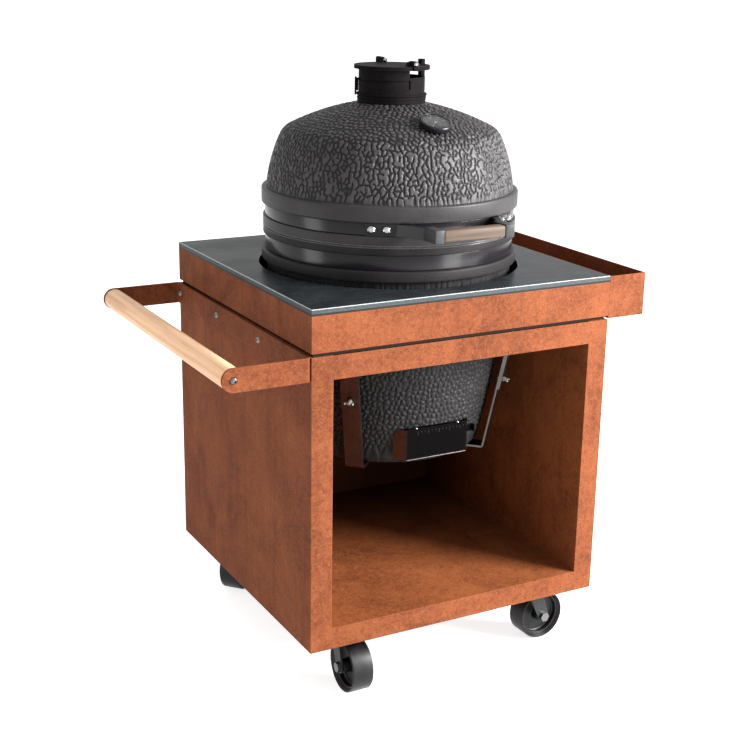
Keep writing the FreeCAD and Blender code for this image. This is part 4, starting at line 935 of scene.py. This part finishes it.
def steel_band(name, node, body):
    """A band with rolled edges."""
    low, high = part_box(node)
    inner = SEAT_RADIUS + GAP
    outer = (high.x - low.x) / 2
    rolled = 0.0012
    bm = bmesh.new()
    outline = [(inner, low.z, 0), (outer, low.z, rolled), (outer, high.z, rolled), (inner, high.z, 0)]
    add_turned(bm, rounded(outline), AT_GRILL, 256)
    piece(name, bm, BAND, body, (node,))


def bead_outline(radius, level, bead, sides):
    """The round outline of a bead that runs round the grill at a radius and a level."""
    angles = [2 * math.pi * k / sides for k in range(sides)]
    return [(radius + bead * math.cos(angle), level + bead * math.sin(angle)) for angle in angles]


def seam_edges():
    """Glossy beads on the edges of the two lips on each side of the seam, painted lighter than the skin as a
    painted highlight.
    """
    inset = 0.0006
    edges = (("seam_edge_dome", "dome", dome_low + inset), ("seam_edge_base", "table", base_high - inset))
    for name, body, level in edges:
        bm = bmesh.new()
        add_turned(bm, bead_outline(LIP_RADIUS - inset, level, 0.0009, 8), AT_GRILL, 256)
        piece(name, bm, GLAZED_EDGE_HIGHLIGHT, body)


# Bolts

def add_button_bolt(bm, place, radius, height, socket=0.42):
    """A domed head with a socket in its crown."""
    hole = radius * socket
    rim = height * (1 - 0.3 * socket)
    outline = [(0, 0), (radius, 0), (radius, height * 0.12)]
    outline += arc((radius, height * 0.12), (hole * 1.1, height), radius * 1.25, 6)
    outline += [(hole, rim), (hole * 0.96, height * 0.35), (0, height * 0.35)]
    add_turned(bm, outline, place, 32, closed=False)


def add_hexagon(bm, place, flats, height, bevel=0.0005):
    corner = flats / math.sqrt(3)
    outline = [(corner * math.cos(math.pi * k / 3), corner * math.sin(math.pi * k / 3)) for k in range(6)]
    add_plate(bm, outline, height, place, bevel)


def push_bar_bolts():
    low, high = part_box("handle_bracket")
    centre = middle("worktop")
    web_face = -(high_of("worktop").x - centre.x) + centre.x - 0.005
    level = (low.z + high.z) / 2
    half = (high.y - low.y) / 2
    end_bolt = half - 0.0165
    inner_bolt = 0.110
    bm = bmesh.new()
    for y in (-end_bolt, -inner_bolt, inner_bolt, end_bolt):
        add_button_bolt(bm, facing((web_face, centre.y + y, level), (-1, 0, 0)), 0.0068, 0.0046)
    for side in (-1, 1):
        place = (middle("handle_bar").x, centre.y + side * half, level)
        add_button_bolt(bm, facing(place, (0, side, 0)), 0.0074, 0.005)
    piece("push_bar_bolts", bm, BOLT_STEEL, "table", ("table_bolts",))


def grip_nuts_and_lid_screws():
    low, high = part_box("dome_band")
    level = (low.z + high.z) / 2
    arm_foot = 0.004
    foot = (high.x - low.x) / 2 + GAP + arm_foot
    bm = bmesh.new()
    for degrees in (-126.5, -120, -60, -53.5):
        direction = polar(1, math.radians(degrees))
        place = GRILL + direction * foot + Vector((0, 0, level))
        add_button_bolt(bm, facing(place, direction), 0.009, 0.0055, 0.50)
    hinge = Vector(joints["vent_lid_hinge"]["pos_m"])
    outer_end = 0.082
    inner_end = 0.0486
    for side in (-1, 1):
        place = hinge + Vector((0, side * outer_end, 0))
        add_button_bolt(bm, facing(place, (0, side, 0)), 0.0052, 0.0035, 0.5)
    add_button_bolt(bm, facing(hinge + Vector((0, inner_end, 0)), (0, -1, 0)), 0.0046, 0.0030, 0.4)
    piece("grip_nuts", bm, CHROME, "dome", ("dome_bolts",))


def strap_wing_nuts():
    """A bolt and wing nut where the two pieces of each strap lap."""
    lean = math.radians(11.09)
    rise = 0.152
    radius = 0.233 + rise * math.tan(lean)
    thickness = 0.0022
    stem = [(0, 0), (0.0050, 0), (0.0042, 0.006), (0.003, 0.006), (0.003, 0.011), (0, 0.011)]
    wing = [(0.003, 0.001), (0.009, 0.005), (0.0105, 0.010), (0.0085, 0.013), (0.006, 0.010), (0.003, 0.006)]
    bm = bmesh.new()
    for degrees in (45, 135, 225, 315):
        angle = math.radians(degrees)
        outward = polar(math.cos(lean), angle, -math.sin(lean))
        place = GRILL + polar(radius, angle, base_low + rise)
        at = facing(place, outward)
        add_turned(bm, stem, at, 24, closed=False)
        upright = at @ Matrix.Rotation(math.radians(90), 4, "X") @ Matrix.Translation((0, 0, -thickness / 2))
        for side in (-1, 1):
            outline = [(side * x, y) for x, y in wing]
            add_plate(bm, outline if side > 0 else outline[::-1], thickness, upright)
        add_button_bolt(bm, facing(place - outward * 0.008, -outward), 0.007, 0.0045)
    piece("strap_wing_nuts", bm, ZINC, "table", ("strap_bolts",))


# Push bar and grip

def push_bar():
    low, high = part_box("handle_bar")
    radius = (high.z - low.z) / 2
    length = high.y - low.y
    bm = bmesh.new()
    outline = rounded([(0, 0, 0), (radius, 0, 0.003), (radius, length, 0.003), (0, length, 0)], closed=False)
    at = facing((middle("handle_bar").x, low.y, middle("handle_bar").z), (0, 1, 0))
    add_turned(bm, finer(outline, 0.08), at, 96, closed=False)
    piece("push_bar_beech", bm, BEECH, "table", ("handle_bar",), 30)


def grip():
    low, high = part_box("kamado_handle_grip")
    bm = bmesh.new()
    add_block(bm, low, high, 0.0035)
    piece("grip_oak", bm, OAK, "dome", ("kamado_handle_grip",), 60)
    bm = bmesh.new()
    block_width = 0.0203
    for side in (-1, 1):
        near = grill_x + side * (high.x - low.x) / 2
        far = near + side * block_width
        block_low = (min(near, far), low.y - GAP, low.z - 0.0013)
        block_high = (max(near, far), low.y + 0.0453, low.z + 0.0243)
        add_block(bm, block_low, block_high, 0.0012)
    piece("grip_blocks", bm, BLOCK_STEEL, "dome")


# Casters

def wheels():
    """Wheels with a flat tread, a flared rim and a deep dish on each side."""
    tread = 0.055
    side = 0.024
    ledge = side - 0.009
    web = 0.004
    for spot, joint in joints_at("roll_"):
        at = facing(joint["pos_m"], joint["axis"])
        half = [(0.0061, side - 0.001, 0), (0.0142, side - 0.001, 0.0012), (0.0150, web, 0.003),
                (0.0440, web, 0.003), (0.0442, ledge, 0.0006), (0.0472, ledge, 0.0008),
                (tread - 0.0022, side, 0.0007), (tread, side - 0.0022, 0.0012)]
        mirror = [(radius, -level, corner) for radius, level, corner in reversed(half)]
        bm = bmesh.new()
        add_turned(bm, rounded(half + mirror), at, 128)
        piece("wheel_" + spot + "_tyre", bm, WHEEL, "wheel_" + spot, ("caster_%s_wheel" % spot,), 30)


def caster_bolts():
    """Four small hexagon bolts through each caster's plate."""
    plate_thick = 0.003
    bolt_offset = 0.036
    bm = bmesh.new()
    for spot, joint in joints_at("swivel_"):
        x, y = joint["pos_m"][:2]
        under = high_of("caster_%s_plate" % spot).z - plate_thick
        for dx in (-bolt_offset, bolt_offset):
            for dy in (-bolt_offset, bolt_offset):
                add_hexagon(bm, facing((x + dx, y + dy, under), (0, 0, -1)), 0.010, 0.005)
    piece("caster_bolts", bm, CHROME, "table")


# Thermometer

def thermometer():
    """A dial with a bezel, an even scale without words and a lens, tilted with the crown."""
    joint = joints["needle_turn"]
    tilt = math.atan2(joint["axis"][1], -joint["axis"][2])
    at = Matrix.Translation(joint["pos_m"]) @ Matrix.Rotation(tilt, 4, "X")
    bm = bmesh.new()
    outline = [(0, -0.075, 0), (0.0025, -0.075, 0.001), (0.0025, -0.030, 0), (0.005, -0.030, 0),
               (0.005, 0.0005, 0), (0.0315, 0.0005, 0.002), (0.0325, 0.0115, 0.0015), (0.031, 0.013, 0.0008),
               (0.0285, 0.013, 0.0005), (0.0285, 0.0085, 0), (0, 0.0085, 0)]
    add_turned(bm, rounded(outline, closed=False), at, 96, closed=False)
    piece("dial_case", bm, BAND, "dome", ("thermometer_body",))
    bm = bmesh.new()
    add_turned(bm, [(0, 0.0085), (0.0284, 0.0085), (0.0284, 0.00875), (0, 0.00875)], at, 64, closed=False)
    piece("dial_face", bm, DIAL_FACE, "dome")
    bm = bmesh.new()
    mark_end = 0.0268
    for k in range(31):
        angle = math.radians(225 - 9 * k)
        long = 0.0045 if k % 5 == 0 else 0.0025
        mark = at @ Matrix.Rotation(angle, 4, "Z")
        add_block(bm, (mark_end - long, -0.0003, 0.0087), (mark_end, 0.0003, 0.0090), 0.0001, mark)
    piece("dial_marks", bm, DIAL_MARK, "dome")
    bm = bmesh.new()
    lens = [(0, 0.0113, 0), (0.0282, 0.0113, 0.0003), (0.0282, 0.0124, 0.0003), (0, 0.0126, 0)]
    add_turned(bm, rounded(lens, closed=False), at, 64, closed=False)
    piece("dial_lens", bm, GLASS, "dome", ("thermometer_lens",))


# Rear hinge springs

def springs():
    """Two torsion springs wound on the hinge pin, one leg under the base's bracket and one on the dome's."""
    pin = middle("hinge_pin")
    wire = 0.0018
    coil = 0.0053 + wire
    pitch = 0.0041
    turns = 9
    steps = 20
    for side, name in ((-1, "spring_left"), (1, "spring_right")):
        start = side * 0.012
        points = [pin + Vector((start, -0.030, -coil)), pin + Vector((start, -0.015, -coil))]
        for k in range(turns * steps + steps // 2):
            angle = -math.pi / 2 + 2 * math.pi * k / steps
            x = start + side * pitch * k / steps
            points.append(pin + Vector((x, coil * math.cos(angle), coil * math.sin(angle))))
        end = start + side * pitch * (turns + 0.5)
        points += [pin + Vector((end, -0.015, coil)), pin + Vector((end, -0.030, coil))]
        bm = bmesh.new()
        add_tube(bm, points, wire)
        made = piece(name, bm, SPRING_STEEL, None, ("hinge_springs",), 50)
        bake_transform(made)


# Top vent

def vent_trim():
    """Rounded rims of the lid's two halves."""
    rim_level = low_of("vent_flap").z + 0.0038
    split = joints["vent_lid_hinge"]["pos_m"][0] - grill_x
    edge = 0.0040
    radius = 0.0752
    for name, body in (("lid_rim_fixed", "dome"), ("lid_rim_flap", "vent_lid")):
        away = 0.0006 if body == "dome" else -0.0006
        start = math.acos((split + away) / radius)
        sweep = 2 * start if body == "dome" else 2 * math.pi - 2 * start
        begin = -start if body == "dome" else start
        points = [Vector((grill_x + radius * math.cos(begin + sweep * k / 60),
                          grill_y + radius * math.sin(begin + sweep * k / 60), rim_level)) for k in range(61)]
        bm = bmesh.new()
        add_tube(bm, points, edge)
        piece(name, bm, VENT, body, (), 50)


def vent_beads():
    """Two thin beads rolled round the collar."""
    low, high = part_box("vent_collar")
    radius = grill_x - low.x
    bm = bmesh.new()
    for share, bead in ((0.93, 0.0024), (0.48, 0.0010)):
        level = low.z + share * (high.z - low.z)
        add_turned(bm, bead_outline(radius, level, bead, 12), AT_GRILL, 160)
    piece("collar_beads", bm, VENT, "dome", (), 60)


def lever_tab():
    """A thumb tab that fills the space between the slide's lever and the vent's body."""
    past_body = 0.0715
    tab_near = 0.0693
    tab_far = 0.0764
    half_width = 0.0055
    places = [vert.co - GRILL for vert in nodes["vent_shutter"].data.vertices]
    outside = [place for place in places if place.to_2d().length > past_body]
    angle = math.atan2(sum(place.y for place in outside), sum(place.x for place in outside))
    top = max(place.z for place in outside)
    bottom = max(min(place.z for place in outside), high_of("vent_collar").z + 0.004)
    bm = bmesh.new()
    add_block(bm, (tab_near, -half_width, bottom), (tab_far, half_width, top - 0.002), 0.0010,
              AT_GRILL @ Matrix.Rotation(angle, 4, "Z"))
    piece("lever_tab", bm, VENT, "vent_slide")


# Draft door

def draft_marks():
    """Short marks along the door's top edge, a light grey strip under the housing as a painted highlight of
    its edge, and two screws on its top.
    """
    house_low, house_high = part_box("draft_housing")
    rail_lip = 0.0014
    front = house_low.y + rail_lip + GAP
    top = house_high.z - 0.0055
    bm = bmesh.new()
    for k in range(15):
        x = grill_x - 0.045 + 0.0085 * k
        long = 0.009 if k % 3 == 0 else 0.005
        add_block(bm, (x - 0.0002, front - 0.0003, top - long), (x + 0.0002, front + 0.0002, top), 0.00005)
    piece("draft_marks", bm, DOOR_MARK, "door")
    # A light grey strip along the housing's lower edge: a painted highlight.
    bm = bmesh.new()
    half = (house_high.x - house_low.x) / 2 - 0.019
    half_edge = 0.0006
    level = house_low.z + half_edge
    add_block(bm, (grill_x - half, house_low.y - 0.0002, level - half_edge),
              (grill_x + half, house_low.y + half_edge, level + half_edge), 0.0002)
    piece("rail_edge_highlight", bm, RAIL_EDGE_HIGHLIGHT, "table")
    bm = bmesh.new()
    for x in (-0.048, 0.052):
        place = facing((grill_x + x, grill_y - 0.2195, house_high.z), (0, -0.3, 1))
        add_button_bolt(bm, place, 0.0035, 0.0022, 0.3)
    piece("draft_screws", bm, CHROME, "table")


# Stage

def stage():
    """A wide pale floor under an even white studio."""
    bm = bmesh.new()
    bmesh.ops.create_grid(bm, x_segments=8, y_segments=8, size=30)
    floor = placed("floor", mesh_of("floor", bm))
    paint = Paint("floor_paint", 0.9).specular(0.1)
    paint.colour(paint.ramp(paint.noise(2, 2), [(0.3, (0.44, 0.44, 0.44)), (0.7, (0.46, 0.46, 0.46))]))
    paint.shade("Emission Color", (1.0, 1.0, 1.0))
    paint.shade("Emission Strength", 0.75)
    floor.data.materials.append(paint.material)
    world = bpy.data.worlds.new("studio")
    world.use_nodes = True
    background = world.node_tree.nodes["Background"].inputs
    background["Color"].default_value = (1.0, 1.0, 1.0, 1.0)
    background["Strength"].default_value = 1.15
    bpy.context.scene.world = world
    bpy.context.scene.view_settings.view_transform = "Standard"


def soft_light(name, place, aim, size, power):
    lamp = bpy.data.lights.new(name, "AREA")
    lamp.shape = "RECTANGLE"
    lamp.size, lamp.size_y = size
    lamp.energy = power
    made = placed(name, lamp)
    made.location = place
    made.rotation_euler = (Vector(aim) - Vector(place)).to_track_quat("-Z", "Y").to_euler()


def lights():
    """One large soft light from the front right and two faint panels that the glossy bands mirror."""
    target = (grill_x, grill_y, 0.65)
    soft_light("key", (3.15, -2.95, 2.3), target, (2.0, 2.0), 1120)
    level = 0.52
    distance = 2.4
    for name, degrees, power in (("front_panel", -62, 22), ("left_panel", -188, 11)):
        place = GRILL + polar(distance, math.radians(degrees), level)
        soft_light(name, place, (grill_x, grill_y, level), (0.75, 1.0), power)


def camera():
    """The photo's camera: its place, direction and lens were solved from the square table's corners."""
    place = Vector((-1.3726, -2.5444, 1.4574))
    azimuth = math.radians(-28.727)
    elevation = math.radians(16.963)
    roll = math.radians(0.999)
    back = Vector((math.sin(azimuth) * math.cos(elevation), -math.cos(azimuth) * math.cos(elevation),
                   math.sin(elevation)))
    right = Vector((0, 0, 1)).cross(back).normalized()
    up = back.cross(right)
    rolled_right = right * math.cos(roll) + up * math.sin(roll)
    rolled_up = up * math.cos(roll) - right * math.sin(roll)
    eye = bpy.data.cameras.new("camera")
    eye.sensor_width = 36
    eye.lens = 65.905
    made = placed("camera", eye)
    turn = Matrix((rolled_right, rolled_up, back)).transposed().to_4x4()
    made.matrix_world = Matrix.Translation(place) @ turn
    bpy.context.scene.camera = made


camera()
stage()
lights()
paint_cad_nodes()
paint_slab_edge()
paint_strap_edges()
paint_draft_sides()
paint_axle_bolts()
ceramic_dome()
ceramic_base()
steel_band("band_upper", "dome_band", "dome")
steel_band("band_lower", "base_band", "table")
seam_edges()
push_bar_bolts()
grip_nuts_and_lid_screws()
strap_wing_nuts()
push_bar()
grip()
wheels()
caster_bolts()
thermometer()
springs()
vent_trim()
vent_beads()
lever_tab()
draft_marks()
